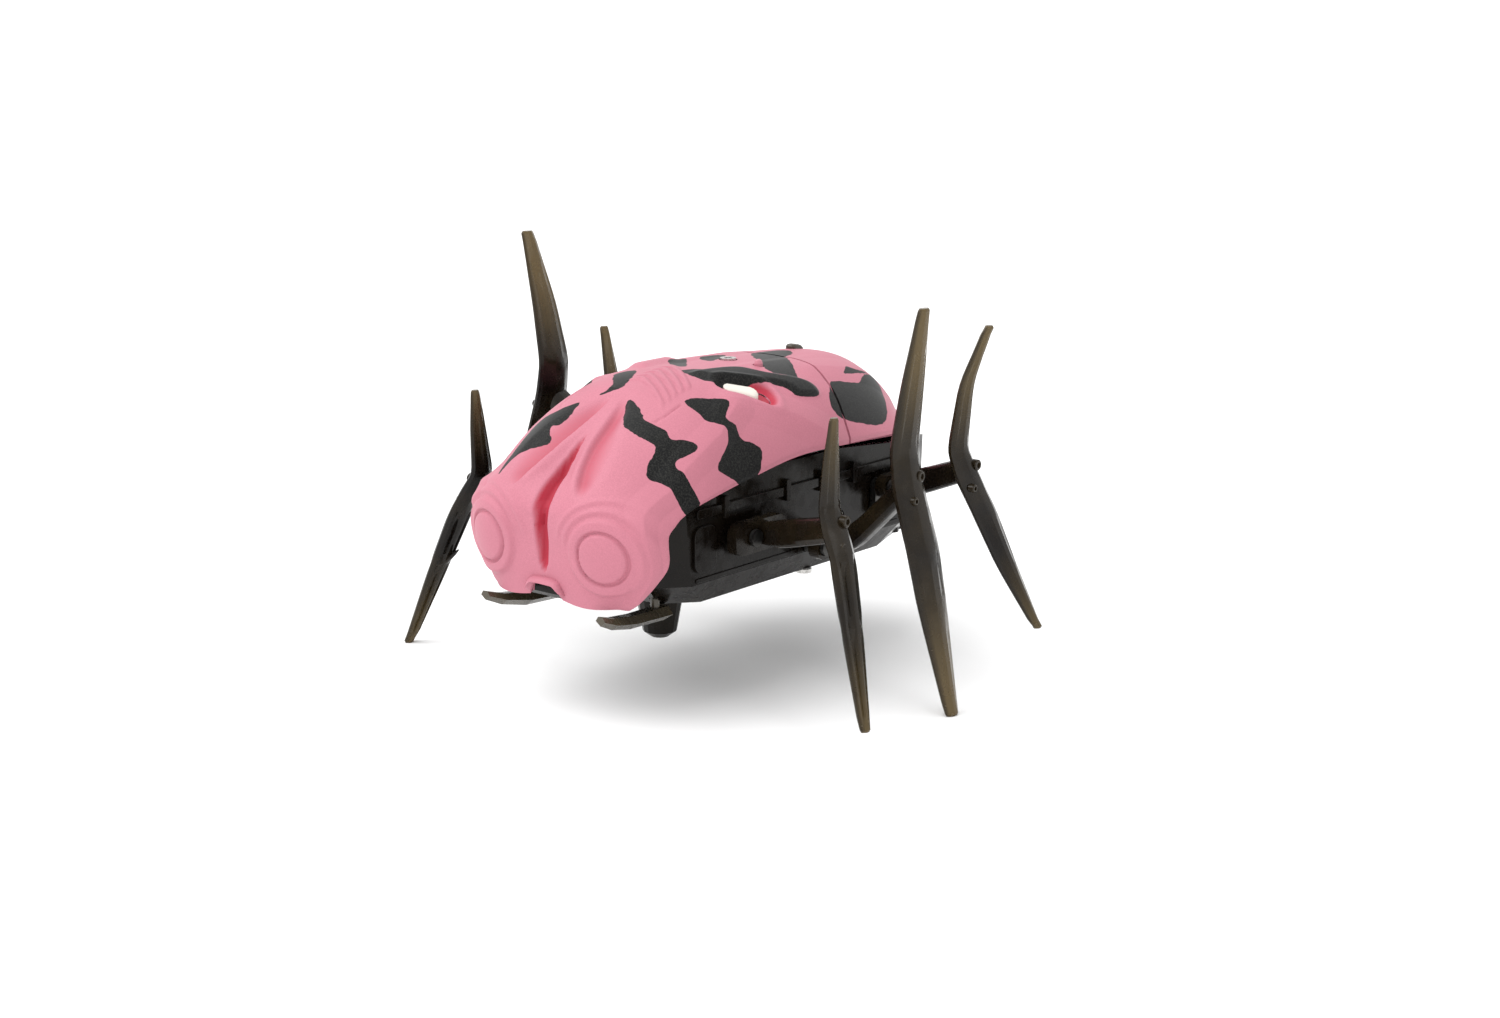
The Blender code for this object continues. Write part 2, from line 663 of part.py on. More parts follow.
def make_reduction(nylon, steel, brass, black):
    rod("main_axle", MAIN_AXIS, SHAFT_R, -27.8, 27.8, steel, 20, (0, *MAIN_AXIS))
    bored_gear("drive_gear", MAIN_AXIS, DRIVE_TEETH, 0.0, *DRIVE_X, nylon, DRIVE_X[0])
    second = meshing_phase(MAIN_AXIS, DRIVE_TEETH, 0.0, SECOND_AXIS, SMALL_TEETH)
    compound_gear("reduction_gear_2", SECOND_AXIS, second, DRIVE_X, 0.0, SECOND_X, REDUCTION_SHAFT_X, nylon)
    first = meshing_phase(SECOND_AXIS, LARGE_TEETH, 0.0, FIRST_AXIS, SMALL_TEETH)
    compound_gear("reduction_gear_1", FIRST_AXIS, first, SECOND_X, 0.0, FIRST_X, REDUCTION_SHAFT_X, nylon)
    pinion_phase = meshing_phase(FIRST_AXIS, LARGE_TEETH, 0.0, MOTOR_AXIS, SMALL_TEETH)
    outline = gear_outline(MOTOR_AXIS, SMALL_TEETH, pinion_phase)
    pinion = slab_x("motor_pinion", outline, *FIRST_X, brass, (FIRST_X[0], *MOTOR_AXIS))
    cut(pinion, rod("bore", MOTOR_AXIS, 1.0 + GAP, 10, 17, brass))
    make_motor(steel)
    make_gearbox_frame(black)


def make_motor(steel):
    y, z = MOTOR_AXIS
    can = [(y + b, z + a) for a, b in rounded_rectangle(-10.0, 10.0, -7.5, 7.5, 5.0, 4)]
    motor = slab_x("motor", can, -19.0, 6.0, steel, (0, y, z))
    turned = (("boss", 3.0, 5.5, 7.5), ("shaft", 1.0, 7.0, 16.5), ("bearing", 3.0, -20.5, -18.5))
    for name, radius, x0, x1 in turned:
        unite(motor, rod(name, MOTOR_AXIS, radius, x0, x1, steel))


def make_gearbox_frame(look):
    """Two cheek plates joined by three posts, with the column that the shell screw bites into."""
    first, second = FRAME_PLATES
    y0, y1 = FIRST_AXIS[0] - 2.8, 8.0
    outline = rounded_rectangle(y0, y1, 36.0, 57.0, 3.0)
    frame = slab_x("gearbox_frame", outline, *first, look)
    unite(frame, slab_x("plate", outline, *second, look))
    for y, z in ((-13.5, 37.8), (5.8, 55.2), (-25.5, 38.4)):
        unite(frame, rod("post", (y, z), 1.2, first[0] + 0.5, second[1] - 0.5, look, 12))
    for axis in (MAIN_AXIS, SECOND_AXIS, FIRST_AXIS):
        cut(frame, rod("bore", axis, SHAFT_R + GAP, first[0] - 1, second[1] + 1, look))
    unite(frame, slab_z("column", circle(SCREW_PLACE, 3.0, 16), 55.5, 82.0, look))
    cut(frame, slab_z("pilot", circle(SCREW_PLACE, 1.0 + GAP, 12), 70.0, 90.0, look))


# --- Electrics ----------------------------------------------------------------


def make_electrics(steel, brass, green, black):
    cell_end = CELL_Y + CELL_LENGTH
    for i in range(3):
        centre = ((i - 1) * CELL_PITCH, CELL_Z)
        cell = slab_y(f"battery_{i + 1}", circle(centre, CELL_R, 20), CELL_Y, cell_end - 0.8, steel)
        unite(cell, slab_y("nub", circle(centre, 1.9, 12), cell_end - 1.2, cell_end, steel))
    plate = rounded_rectangle(-16.5, 16.5, CELL_Z - 4.5, CELL_Z + 4.5, 1.0)
    slab_y("contact_front", plate, CELL_Y - 1.0, CELL_Y - 0.4, brass)
    slab_y("contact_rear", plate, cell_end + 0.4, cell_end + 1.0, brass)
    outline = rounded_rectangle(-BOARD_HALF, BOARD_HALF, *BOARD_Y, 1.0)
    board = slab_z("circuit_board", outline, BOARD_Z, BOARD_Z + 1.6, green)
    chip = rounded_rectangle(-8, 6, 26, 40, 0.5)
    unite(board, slab_z("chip", chip, BOARD_Z + 1.0, BOARD_Z + 3.4, black))


def make_switch(white):
    """The switch under the shell's slot; its slider starts at the front end of the travel."""
    z, start = SWITCH_Z, -SWITCH_TRAVEL / 2
    body = slab_z("switch_body", switch_capsule(14.5, 6.6), z - 5.0, z, white)
    groove = slanted(rounded_rectangle(-4.2, 4.2, -1.2, 1.2, 0.3))
    cut(body, slab_z("groove", groove, z - 2.0, z + 1, white))
    stem = slanted(rounded_rectangle(start - 1.4, start + 1.4, -0.9, 0.9, 0.2))
    slider = slab_z("switch_slider", stem, z - 1.7, z + 1.5, white, (*SWITCH_PLACE, z))
    cap = slanted(rounded_rectangle(start - 2.4, start + 2.4, -1.6, 1.6, 0.5))
    unite(slider, slab_z("cap", cap, z + GAP, z + 1.6, white))


# --- Under the nose -------------------------------------------------------------


def make_skid(look):
    """A rounded foot that keeps the nose off the ground if the robot tips forward."""
    x, y = SKID_PLACE
    rings = [
        [(a, b, z) for a, b in circle((x, y), r, 16)]
        for z, r in ((14.0, 2.4), (15.6, 4.6), (20.0, 5.4), (HULL_BOTTOM - GAP, 7.0))
    ]
    skid = lofted("front_skid", rings, look)
    stem = circle(SKID_PLACE, 2.0 - GAP, 12)
    unite(skid, slab_z("stem", stem, HULL_BOTTOM - 1, HULL_BOTTOM + WALL + 1, look))


def make_mandibles(look):
    for side_name, side in SIDES.items():
        stations = (
            (0.0, MANDIBLE_ROOT_Y + 7.5, 26.6, 6.4, 4.0),
            (0.4, MANDIBLE_ROOT_Y - 6.0, 27.0, 5.6, 3.8),
            (1.4, MANDIBLE_ROOT_Y - 14.0, 28.4, 4.8, 3.2),
            (2.2, MANDIBLE_ROOT_Y - 19.0, 30.2, 3.2, 2.4),
        )
        rings = []
        for dx, y, z, width, height in stations:
            x = MANDIBLE_X + dx
            w, h = width / 2, height / 2
            section = ((w, 0.0), (w * 0.5, h), (-w * 0.5, h), (-w, 0.0), (0.0, -h))
            rings.append(mirrored([(x + a, y, z + b) for a, b in section], side))
        blade = lofted(f"mandible_{side_name}", rings, look)
        place = (side * MANDIBLE_X, MANDIBLE_ROOT_Y + 4)
        unite(blade, slab_z("stem", circle(place, 1.2, 12), 26.0, 32.0, look))


def make_trim(pink, steel):
    rings = []
    for drop, share in ((7.0, 1.0), (1.1, 1.0), (0.3, 0.75), (0.0, 0.35)):
        rings.append([(x, y, PEG_TOP - drop) for x, y in circle(PEG_PLACE, PEG_R * share, 14)])
    lofted("shell_peg", rings, pink)
    screw("shell_screw", SCREW_PLACE, SCREW_HEAD_Z, 74.0, steel, SCREW_HEAD_R, True)
    head_z, tip_z = HULL_BOTTOM - 1.4, HULL_BOTTOM + 5.0
    for spot, name in zip(SCREW_SPOTS, ("front_right", "front_left", "middle_right", "middle_left")):
        screw(f"belly_screw_{name}", spot, head_z, tip_z, steel, BELLY_HEAD_R, False)


def main():
    clear_scene()
    pink = material("pink_shell", PINK, 0.42)
    smoke = material("smoke_plastic", SMOKE, 0.25)
    steel = material("steel", STEEL, 0.3, 1.0)
    brass = material("brass", BRASS, 0.35, 1.0)
    nylon = material("white_nylon", WHITE, 0.5)
    black = material("black_plastic", BLACK, 0.5)
    green = material("board_green", GREEN, 0.5)
    make_shells(pink)
    make_chassis(smoke)
    make_belly_cover(smoke, steel)
    make_walking_gear(nylon, steel, smoke)
    make_reduction(nylon, steel, brass, black)
    make_electrics(steel, brass, green, black)
    make_switch(nylon)
    make_skid(smoke)
    make_mandibles(smoke)
    make_trim(pink, steel)


main()
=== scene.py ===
"""Looks of the six-legged walking robot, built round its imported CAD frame.

The frame is in metres, +Z up; the robot looks along -Y and its own left side is +X.
Lengths below are millimetres and become metres when a mesh is made.
"""

import math

import bmesh
import bpy
import numpy as np
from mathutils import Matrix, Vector


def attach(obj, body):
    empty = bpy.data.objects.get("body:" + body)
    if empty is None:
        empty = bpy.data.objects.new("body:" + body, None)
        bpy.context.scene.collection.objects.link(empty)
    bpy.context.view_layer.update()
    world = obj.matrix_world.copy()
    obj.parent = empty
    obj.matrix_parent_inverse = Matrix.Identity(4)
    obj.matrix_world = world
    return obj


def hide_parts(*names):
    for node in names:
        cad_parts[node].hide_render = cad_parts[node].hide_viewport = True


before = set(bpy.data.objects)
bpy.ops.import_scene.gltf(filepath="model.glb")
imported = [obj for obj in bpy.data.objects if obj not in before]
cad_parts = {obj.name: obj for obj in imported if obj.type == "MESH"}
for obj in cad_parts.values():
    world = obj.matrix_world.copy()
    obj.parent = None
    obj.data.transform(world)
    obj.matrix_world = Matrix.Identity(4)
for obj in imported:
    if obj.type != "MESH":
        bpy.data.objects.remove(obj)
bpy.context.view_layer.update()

MM = 0.001
SIDES = {"left": 1, "right": -1}
ROWS = ("front", "middle", "rear")

# Camera: a long lens in front of the robot's left, a little above it.
VIEW_AZIMUTH = math.radians(39)
VIEW_ELEVATION = math.radians(13)
VIEW_DISTANCE = 0.650
VIEW_TARGET = (0.0, 0.013, 0.041)
FOCAL_LENGTH = 55.69
SENSOR_WIDTH = 36.0
FLOOR_HALF = 40000.0

# Shell stations from the lower lip of the nose, over the back, to the tail, as in the CAD:
# centre y z, edge x y z, edge handle x y z, centre handle as a share of the edge x.
STATIONS = np.array((
    (-69.5, 29.5, 23.0, -62.5, 31.5, -3.0, -6.0, 1.8, 0.66),
    (-71.0, 44.0, 31.0, -57.5, 42.0, -0.4, -8.0, 0.7, 0.79),
    (-71.5, 59.0, 31.5, -57.0, 51.5, 1.0, -7.0, 1.2, 0.76),
    (-62.0, 71.5, 32.0, -50.0, 56.0, -1.2, -5.0, 3.0, 0.62),
    (-45.0, 79.8, 32.5, -40.0, 58.5, -1.6, -2.0, 9.7, 0.74),
    (-28.0, 84.8, 33.0, -27.0, 61.0, -3.4, 0.0, 12.1, 0.76),
    (-6.0, 85.3, 34.0, -8.0, 64.0, -3.8, 0.0, 13.7, 0.68),
    (21.0, 84.3, 34.0, 14.5, 64.0, -4.7, 0.0, 11.4, 0.67),
    (46.0, 81.6, 30.5, 41.0, 62.5, -5.7, 1.0, 7.0, 0.52),
    (63.0, 71.5, 22.0, 57.5, 59.5, -4.4, 3.0, 2.8, 0.42),
    (72.5, 58.0, 11.0, 70.5, 57.5, 1.0, 2.0, 1.0, 0.60),
))
SHELL_THICK = 1.6
SHELL_COLUMNS = 241
ROWS_PER_STATION = 56
PARTING_STATION = 7
PARTING_GAP = 0.02
STATION_LENGTH = 19.0  # surface length of one station, and of the half width from crest to edge
HALF_GIRTH = 45.0
# The lip rises between the cheeks, with a notch in the middle.
LIP_ARCH = 3.6
LIP_ARCH_WIDTH = 13.0
LIP_NOTCH = 3.6
LIP_NOTCH_X = (3.4, 5.6)

# What goes through the shell, as in the CAD.
SCREW_PLACE = (0.0, 3.5)
SCREW_HEAD_Z = 85.1
SCREW_HEAD_R = 2.25
PEG_PLACE = (11.5, 2.4)
PEG_R = 1.2
SWITCH_PLACE = (21.0, -14.5)
SWITCH_ANGLE = math.radians(55)
SWITCH_SLOT = (13.0, 4.6)
SWITCH_TRAVEL = 3.0
SLIDER_CAP = (9.4, 3.6)
NUB_PLACE = (7.62, -0.06)  # station and side
NUB_SIZE = (6.0, 3.4)

# Eyes: place in x and z, radii of the disc, the ring and the two arcs over it, and their heights.
EYE_PLACE = (19.6, 46.0)
EYE_DISC_R = 6.3
EYE_DISC_HEIGHT = 1.25
EYE_DOME = 0.5
EYE_RING_R = (7.3, 9.5)
EYE_RING_HEIGHT = 1.05
EYE_FLOOR_HEIGHT = 0.35
BROW_R = (11.8, 14.2)
BROW_HEIGHT = 0.42

# Ribs on the back: slanting bars counted along the shell from a first station.
RIB_START = 4.72
RIB_SLANT = 2.3
RIB_PITCH = 0.155
RIB_COUNT = 5
RIB_HEIGHT = 0.42

# Relief round the switch slot.
POCKET_HALF_LENGTH = 4.6
POCKET_DEPTH = 1.7
BACK_MIN_Z = 70.0

# Sharp bends between the shell's faces, as (station, side) polylines with a height.
CREASES = (
    (
        (
            (5.2, 0.50), (4.6, 0.62), (3.7, 0.66), (3.06, 0.70), (2.24, 0.62), (1.8, 0.67), (1.06, 0.75),
            (0.28, 0.92),
        ),
        1.1,
    ),
    (((5.2, 0.44), (5.46, 0.52), (5.96, 0.68), (6.40, 0.83), (6.62, 0.93)), 0.9),
    (((7.0, 0.30), (7.6, 0.36), (8.1, 0.41), (8.7, 0.55)), 0.6),
)
CREASE_REACH = 6.5
# A raised wing beside the switch, as a (station, side) outline.
WING = (
    (5.30, 0.12), (5.70, 0.13), (6.02, 0.18), (6.22, 0.30), (6.66, 0.45), (6.70, 0.60), (6.32, 0.58),
    (6.20, 0.48), (5.84, 0.37), (5.40, 0.26),
)
WING_HEIGHT = 1.1
DECK_DEPTH = 0.5  # the flat of the back lies lower round the screw
SEAM = ((3.92, 4.10, 4.48), (0.29, 0.30, 0.30))  # a scribed line between cheek and ribs: stations, sides
SEAM_DEPTH = 0.35
RIM_DEPTH = 0.5

# Camouflage patches as (station, side) outlines; side is positive on the robot's left.
PATCHES = (
    (
        (4.10, 0.06), (4.18, 0.08), (3.96, 0.19), (3.86, 0.25), (3.88, 0.37), (3.82, 0.44), (3.98, 0.50),
        (4.06, 0.58), (3.94, 0.61), (3.60, 0.58), (3.50, 0.63), (3.52, 0.69), (3.38, 1.02), (2.84, 1.02),
        (3.12, 0.69), (3.06, 0.54), (3.20, 0.48), (3.56, 0.42), (3.56, 0.28), (3.68, 0.16),
    ),
    (
        (4.58, 0.29), (4.94, 0.36), (5.12, 0.46), (4.88, 0.55), (5.00, 0.62), (5.02, 0.72), (5.24, 0.80),
        (5.32, 0.88), (5.10, 1.03), (4.80, 1.03), (4.32, 0.86), (4.26, 0.80), (4.66, 0.70), (4.78, 0.60),
        (4.58, 0.50), (4.56, 0.43),
    ),
    (
        (5.30, 0.07), (5.70, 0.11), (6.02, 0.18), (6.22, 0.34), (6.66, 0.47), (6.66, 0.60), (6.32, 0.58),
        (6.20, 0.48), (5.84, 0.37), (5.30, 0.26),
    ),
    (
        (6.90, -0.06), (7.34, -0.04), (7.28, 0.05), (6.98, 0.11), (6.68, 0.30), (6.54, 0.42), (6.36, 0.36),
        (6.36, 0.21),
    ),
    (
        (7.04, 0.49), (7.22, 0.48), (7.58, 0.51), (7.76, 0.47), (7.90, 0.43), (8.16, 0.42), (8.26, 0.54),
        (7.78, 0.88), (7.24, 0.86), (6.90, 0.78), (6.84, 0.65),
    ),
    ((4.20, -0.09), (4.48, -0.08), (4.96, -0.19), (5.06, -0.09), (4.48, -0.02), (4.32, -0.05)),
    (
        (2.40, -0.36), (3.14, -0.43), (3.60, -0.40), (3.78, -0.26), (3.96, -0.15), (3.56, -0.16),
        (3.40, -0.21), (3.18, -0.17), (3.04, -0.21), (2.88, -0.28), (2.66, -0.33),
    ),
    ((5.82, -0.15), (6.10, -0.15), (5.68, 0.00), (5.52, 0.00)),
    ((6.28, -0.13), (6.62, -0.10), (6.16, -0.02)),
    ((7.60, 0.35), (7.74, 0.38), (8.06, 0.41), (7.46, 0.42)),
    (
        (1.70, -0.66), (2.30, -0.72), (2.90, -0.62), (3.34, -0.70), (3.20, -1.02), (2.40, -1.02),
        (2.00, -0.86),
    ),
    (
        (4.30, -0.40), (4.80, -0.36), (5.20, -0.48), (5.02, -0.60), (5.20, -0.72), (5.60, -0.84),
        (5.40, -1.02), (4.70, -1.02), (4.44, -0.84), (4.62, -0.70), (4.30, -0.54),
    ),
    ((5.50, -0.30), (6.10, -0.26), (6.70, -0.40), (6.76, -0.56), (6.20, -0.64), (5.70, -0.48)),
    (
        (6.90, -0.62), (7.30, -0.50), (7.80, -0.54), (8.20, -0.40), (8.50, -0.52), (8.10, -0.80),
        (7.50, -0.94), (7.00, -0.84),
    ),
    ((8.70, -0.20), (9.20, -0.12), (9.56, 0.14), (9.20, 0.36), (8.84, 0.18)),
)
PATCH_SMOOTHING = 5
PATCH_MARGIN = 4.0  # distances to a patch are cut off here

# Legs, left side, crank at mid height, as in the CAD: sections x y z, width along Y, thickness along X.
LEG_BLADES = {
    "front": (
        (62.6, -31.6, 77.5, 3.0, 2.2), (61.8, -31.6, 66.5, 5.6, 3.4), (61.0, -31.2, 54.5, 7.6, 4.4),
        (63.5, -32.2, 49.5, 9.0, 6.0), (67.0, -33.5, 43.5, 8.8, 5.2), (72.5, -37.0, 28.0, 7.6, 4.4),
        (81.0, -42.5, 3.5, 3.4, 2.6),
    ),
    "middle": (
        (69.0, -3.0, 110.5, 4.6, 2.6), (64.6, -1.2, 90.0, 9.0, 4.6), (61.8, -0.5, 73.5, 11.4, 5.4),
        (63.0, -0.5, 64.0, 12.0, 6.6), (68.2, -0.5, 47.5, 13.2, 5.8), (71.4, -0.5, 33.0, 11.6, 5.2),
        (78.1, -0.5, 5.0, 5.0, 3.0),
    ),
    "rear": (
        (68.3, 28.0, 91.0, 3.2, 2.4), (63.2, 25.6, 75.5, 5.6, 3.6), (61.2, 25.0, 58.0, 8.0, 4.6),
        (62.6, 27.0, 51.0, 9.6, 6.2), (66.2, 31.0, 40.0, 10.0, 5.4), (71.5, 34.4, 25.5, 8.0, 4.6),
        (79.0, 38.6, 8.5, 3.2, 2.6),
    ),
}
# Arms, from the link to the knee: x y z, height, depth.
LEG_ARMS = {
    "front": ((34.5, -24.5, 43.0, 5.6, 4.6), (44.0, -27.0, 44.6, 7.6, 5.2), (63.5, -32.0, 49.5, 6.6, 5.6)),
    "middle": ((34.5, 5.5, 43.0, 5.6, 4.6), (44.0, 4.5, 47.0, 8.0, 5.6), (63.0, -0.2, 63.5, 7.4, 6.6)),
    "rear": ((34.5, 35.5, 43.0, 5.6, 4.6), (44.0, 34.0, 45.0, 7.6, 5.2), (62.8, 27.4, 52.0, 6.8, 5.6)),
}
# Barbs on the lower blades: root and tip.
LEG_BARBS = {
    "front": ((73.0, -37.5, 26.0), (67.5, -35.0, 31.5)),
    "middle": ((71.0, -0.5, 31.0), (66.0, 2.0, 37.5)),
    "rear": ((70.0, 33.5, 29.0), (65.5, 31.0, 35.0)),
}
KNEE_SECTION = 3
SECTIONS_PER_SPAN = 7
CRANK_SPACING = 30.0
CRANK_Z = 43.0
THROWS = {"front": 3.5, "middle": 5.0, "rear": 6.5}
FOLLOWER_OFFSET = 11.0
LINK_X = (33.0, 36.0)
LINK_R = 3.2
PIN_BORE_R = 1.9
CAP_RECESS_R = 2.8
STANDING = {("front", "right"), ("middle", "left"), ("rear", "right")}

ARM_SIDES = 20
ARM_SQUARENESS = 0.6
LEG_FACET_ANGLE = 13
# Bosses on the outside of a knee: share of the blade's width, height over the knee, radius.
KNEE_BOSSES = ((0.16, 2.2, 1.5), (-0.20, -3.4, 1.1))
KNEE_SLOPE = 0.26  # the blade leans out by this much per millimetre of fall
# Section of a boss: distance out of the blade, share of the radius.
BOSS_SECTION = ((-1.2, 1.0), (0.35, 1.0), (0.6, 0.82), (0.6, 0.5), (0.1, 0.4))

HULL_SIDE_X = 30.0

# Colours, linear RGB.
PINK = (0.50, 0.180, 0.232)
# painted shade: the darker pink laid into the recesses
PINK_PAINTED_SHADE = (0.42, 0.040, 0.066)
CAMO_BLACK = (0.004, 0.004, 0.0045)
CAMO_GREY = (0.022, 0.022, 0.020)
SMOKE_THICK = (0.0060, 0.0040, 0.0027)
SMOKE_THIN = (0.125, 0.088, 0.038)


# --- Meshes -------------------------------------------------------------------


def mesh_object(name, points, faces, look, sharp=32):
    """A mesh from points in millimetres, creased where faces meet at more than the sharp angle in degrees."""
    mesh = bpy.data.meshes.new(name)
    mesh.from_pydata([Vector(p) * MM for p in points], [], faces)
    mesh.materials.append(look)
    mesh.validate()
    mesh.shade_smooth()
    mesh.set_sharp_from_angle(angle=math.radians(sharp))
    obj = bpy.data.objects.new(name, mesh)
    bpy.context.scene.collection.objects.link(obj)
    return obj


def facing_out(obj):
    """Turns every face outwards."""
    work = bmesh.new()
    work.from_mesh(obj.data)
    bmesh.ops.recalc_face_normals(work, faces=work.faces)
    work.to_mesh(obj.data)
    work.free()
    return obj


def combine(obj, operation, *tools):
    """Unites or cuts obj with each tool, which is then removed."""
    for tool in tools:
        modifier = obj.modifiers.new("Boolean", "BOOLEAN")
        modifier.operation = operation
        modifier.solver = "MANIFOLD"
        modifier.object = tool
        graph = bpy.context.evaluated_depsgraph_get()
        result = bpy.data.meshes.new_from_object(obj.evaluated_get(graph))
        obj.modifiers.clear()
        obj.data = result
        bpy.data.objects.remove(tool, do_unlink=True)
    return obj


def loft(name, rings, look, sharp=32):
    """A closed solid through rings of equal length."""
    count = len(rings[0])
    points = [p for ring in rings for p in ring]
    faces = []
    for row in range(len(rings) - 1):
        for i in range(count):
            j = (i + 1) % count
            a, b = row * count, (row + 1) * count
            faces.append((a + i, a + j, b + j, b + i))
    faces.append(tuple(range(count)))
    faces.append(tuple(range((len(rings) - 1) * count, len(rings) * count)))
    return facing_out(mesh_object(name, points, faces, look, sharp))


def arc(centre, radius, start, end, steps):
    angles = [start + (end - start) * i / steps for i in range(steps + 1)]
    return [(centre[0] + radius * math.cos(a), centre[1] + radius * math.sin(a)) for a in angles]


def circle(centre, radius, sides=40):
    return arc(centre, radius, 0.0, 2 * math.pi, sides)[:-1]


def rounded_rectangle(a0, a1, b0, b1, radius, steps=6):
    left, right, low, high = a0 + radius, a1 - radius, b0 + radius, b1 - radius
    points = []
    for i, centre in enumerate(((right, high), (left, high), (left, low), (right, low))):
        points += arc(centre, radius, i * math.pi / 2, (i + 1) * math.pi / 2, steps)
    return points


def capsule(length, width, steps=16):
    """Outline along X round the origin."""
    half, radius = (length - width) / 2, width / 2
    quarter = math.pi / 2
    right = arc((half, 0), radius, -quarter, quarter, steps)
    return right + arc((-half, 0), radius, quarter, 3 * quarter, steps)


def slab_z(name, outline, z0, z1, look):
    return loft(name, [[(x, y, z) for x, y in outline] for z in (z0, z1)], look)


def slab_x(name, outline, x0, x1, look):
    return loft(name, [[(x, y, z) for y, z in outline] for x in (x0, x1)], look)


def bevel(obj, width, segments=3):
    modifier = obj.modifiers.new("Bevel", "BEVEL")
    modifier.width = width * MM
    modifier.segments = segments
    modifier.limit_method = "ANGLE"
    modifier.angle_limit = math.radians(30)
    modifier.harden_normals = True
    return obj


def set_attribute(obj, name, values):
    """Stores one number per vertex for a material to read."""
    attribute = obj.data.attributes.new(name, "FLOAT", "POINT")
    attribute.data.foreach_set("value", np.asarray(values, np.float32))


# --- Materials ------------------------------------------------------------------


class Look:
    """A material under construction: its nodes are added by small calls."""

    def __init__(self, name, roughness=0.4, metallic=0.0):
        self.material = bpy.data.materials.new(name)
        self.material.use_nodes = True
        self.tree = self.material.node_tree
        self.shader = self.tree.nodes["Principled BSDF"]
        self.shader.inputs["Roughness"].default_value = roughness
        self.shader.inputs["Metallic"].default_value = metallic
        self.place = self.tree.nodes.new("ShaderNodeTexCoord").outputs["Object"]

    def node(self, kind, **settings):
        made = self.tree.nodes.new(kind)
        for key, value in settings.items():
            setattr(made, key, value)
        return made

    def plug(self, source, target):
        self.tree.links.new(source, target)

    def noise(self, scale, detail=3.0, roughness=0.55):
        made = self.node("ShaderNodeTexNoise")
        made.inputs["Scale"].default_value = scale
        made.inputs["Detail"].default_value = detail
        made.inputs["Roughness"].default_value = roughness
        self.plug(self.place, made.inputs["Vector"])
        return made.outputs["Fac"]

    def remap(self, source, low, high, to_low=0.0, to_high=1.0):
        made = self.node("ShaderNodeMapRange", interpolation_type="SMOOTHSTEP")
        for key, value in zip(("From Min", "From Max", "To Min", "To Max"), (low, high, to_low, to_high)):
            made.inputs[key].default_value = value
        self.plug(source, made.inputs["Value"])
        return made.outputs["Result"]

    def mix(self, share, first, second):
        """A colour between two colours, each a socket or three numbers."""
        made = self.node("ShaderNodeMix", data_type="RGBA")
        self.plug(share, made.inputs[0])
        for socket, colour in ((made.inputs[6], first), (made.inputs[7], second)):
            if isinstance(colour, tuple):
                socket.default_value = (*colour, 1.0)
            else:
                self.plug(colour, socket)
        return made.outputs[2]

    def attribute(self, name):
        return self.node("ShaderNodeAttribute", attribute_name=name).outputs["Fac"]

    def bump(self, height, distance, strength=0.5):
        made = self.node("ShaderNodeBump")
        made.inputs["Strength"].default_value = strength
        made.inputs["Distance"].default_value = distance * MM
        self.plug(height, made.inputs["Height"])
        self.plug(made.outputs["Normal"], self.shader.inputs["Normal"])

    def colour(self, source):
        self.plug(source, self.shader.inputs["Base Color"])

    def vary_roughness(self, source):
        self.plug(source, self.shader.inputs["Roughness"])


def tint(colour, factor):
    return tuple(c * factor for c in colour)


def shell_look():
    """Satin pink moulding with sprayed black patches; recesses are painted a deeper pink as shade."""
    look = Look("pink_camouflage")
    look.shader.inputs["Specular IOR Level"].default_value = 0.13
    cloud = look.remap(look.noise(26.0, 2.0), 0.35, 0.65)
    grain = look.noise(2600.0, 2.0, 0.7)
    pink = look.mix(cloud, tint(PINK, 0.97), tint(PINK, 1.04))
    # painted shade: the depth attribute darkens the pink in the groove, hollows and switch pocket
    pink = look.mix(look.attribute("depth"), pink, PINK_PAINTED_SHADE)
    pink = look.mix(look.remap(grain, 0.30, 0.72), tint(PINK, 0.90), pink)
    pink = look.mix(look.attribute("depth"), pink, PINK_PAINTED_SHADE)
    spray = look.mix(look.remap(grain, 0.42, 0.66), CAMO_BLACK, CAMO_GREY)
    edge = look.node("ShaderNodeMath", operation="ADD")
    look.plug(look.attribute("camo"), edge.inputs[0])
    look.plug(look.remap(look.noise(420.0, 2.0), 0.3, 0.7, -0.16, 0.16), edge.inputs[1])
    sprayed = look.remap(edge.outputs[0], -0.08, 0.08)
    look.colour(look.mix(sprayed, pink, spray))
    look.vary_roughness(look.remap(sprayed, 0.0, 1.0, 0.46, 0.40))
    look.bump(grain, 0.03, 0.35)
    return look.material


def leg_look():
    """Smoke-tinted clear plastic: near black where thick and, as painted shade, along the blades' edges;
    olive brown where thin.
    """
    look = Look("smoke_leg", roughness=0.2)
    look.shader.inputs["IOR"].default_value = 1.5
    look.shader.inputs["Specular IOR Level"].default_value = 0.15
    look.shader.inputs["Transmission Weight"].default_value = 0.25
    flow = look.remap(look.noise(55.0, 3.0), 0.3, 0.7, -0.07, 0.07)
    share = look.node("ShaderNodeMath", operation="ADD", use_clamp=True)
    look.plug(look.attribute("thin"), share.inputs[0])
    look.plug(flow, share.inputs[1])
    look.colour(look.mix(share.outputs[0], SMOKE_THICK, SMOKE_THIN))
    look.vary_roughness(look.remap(look.noise(300.0, 2.0), 0.3, 0.7, 0.14, 0.30))
    look.bump(look.noise(240.0, 2.0), 0.06, 0.3)
    return look.material


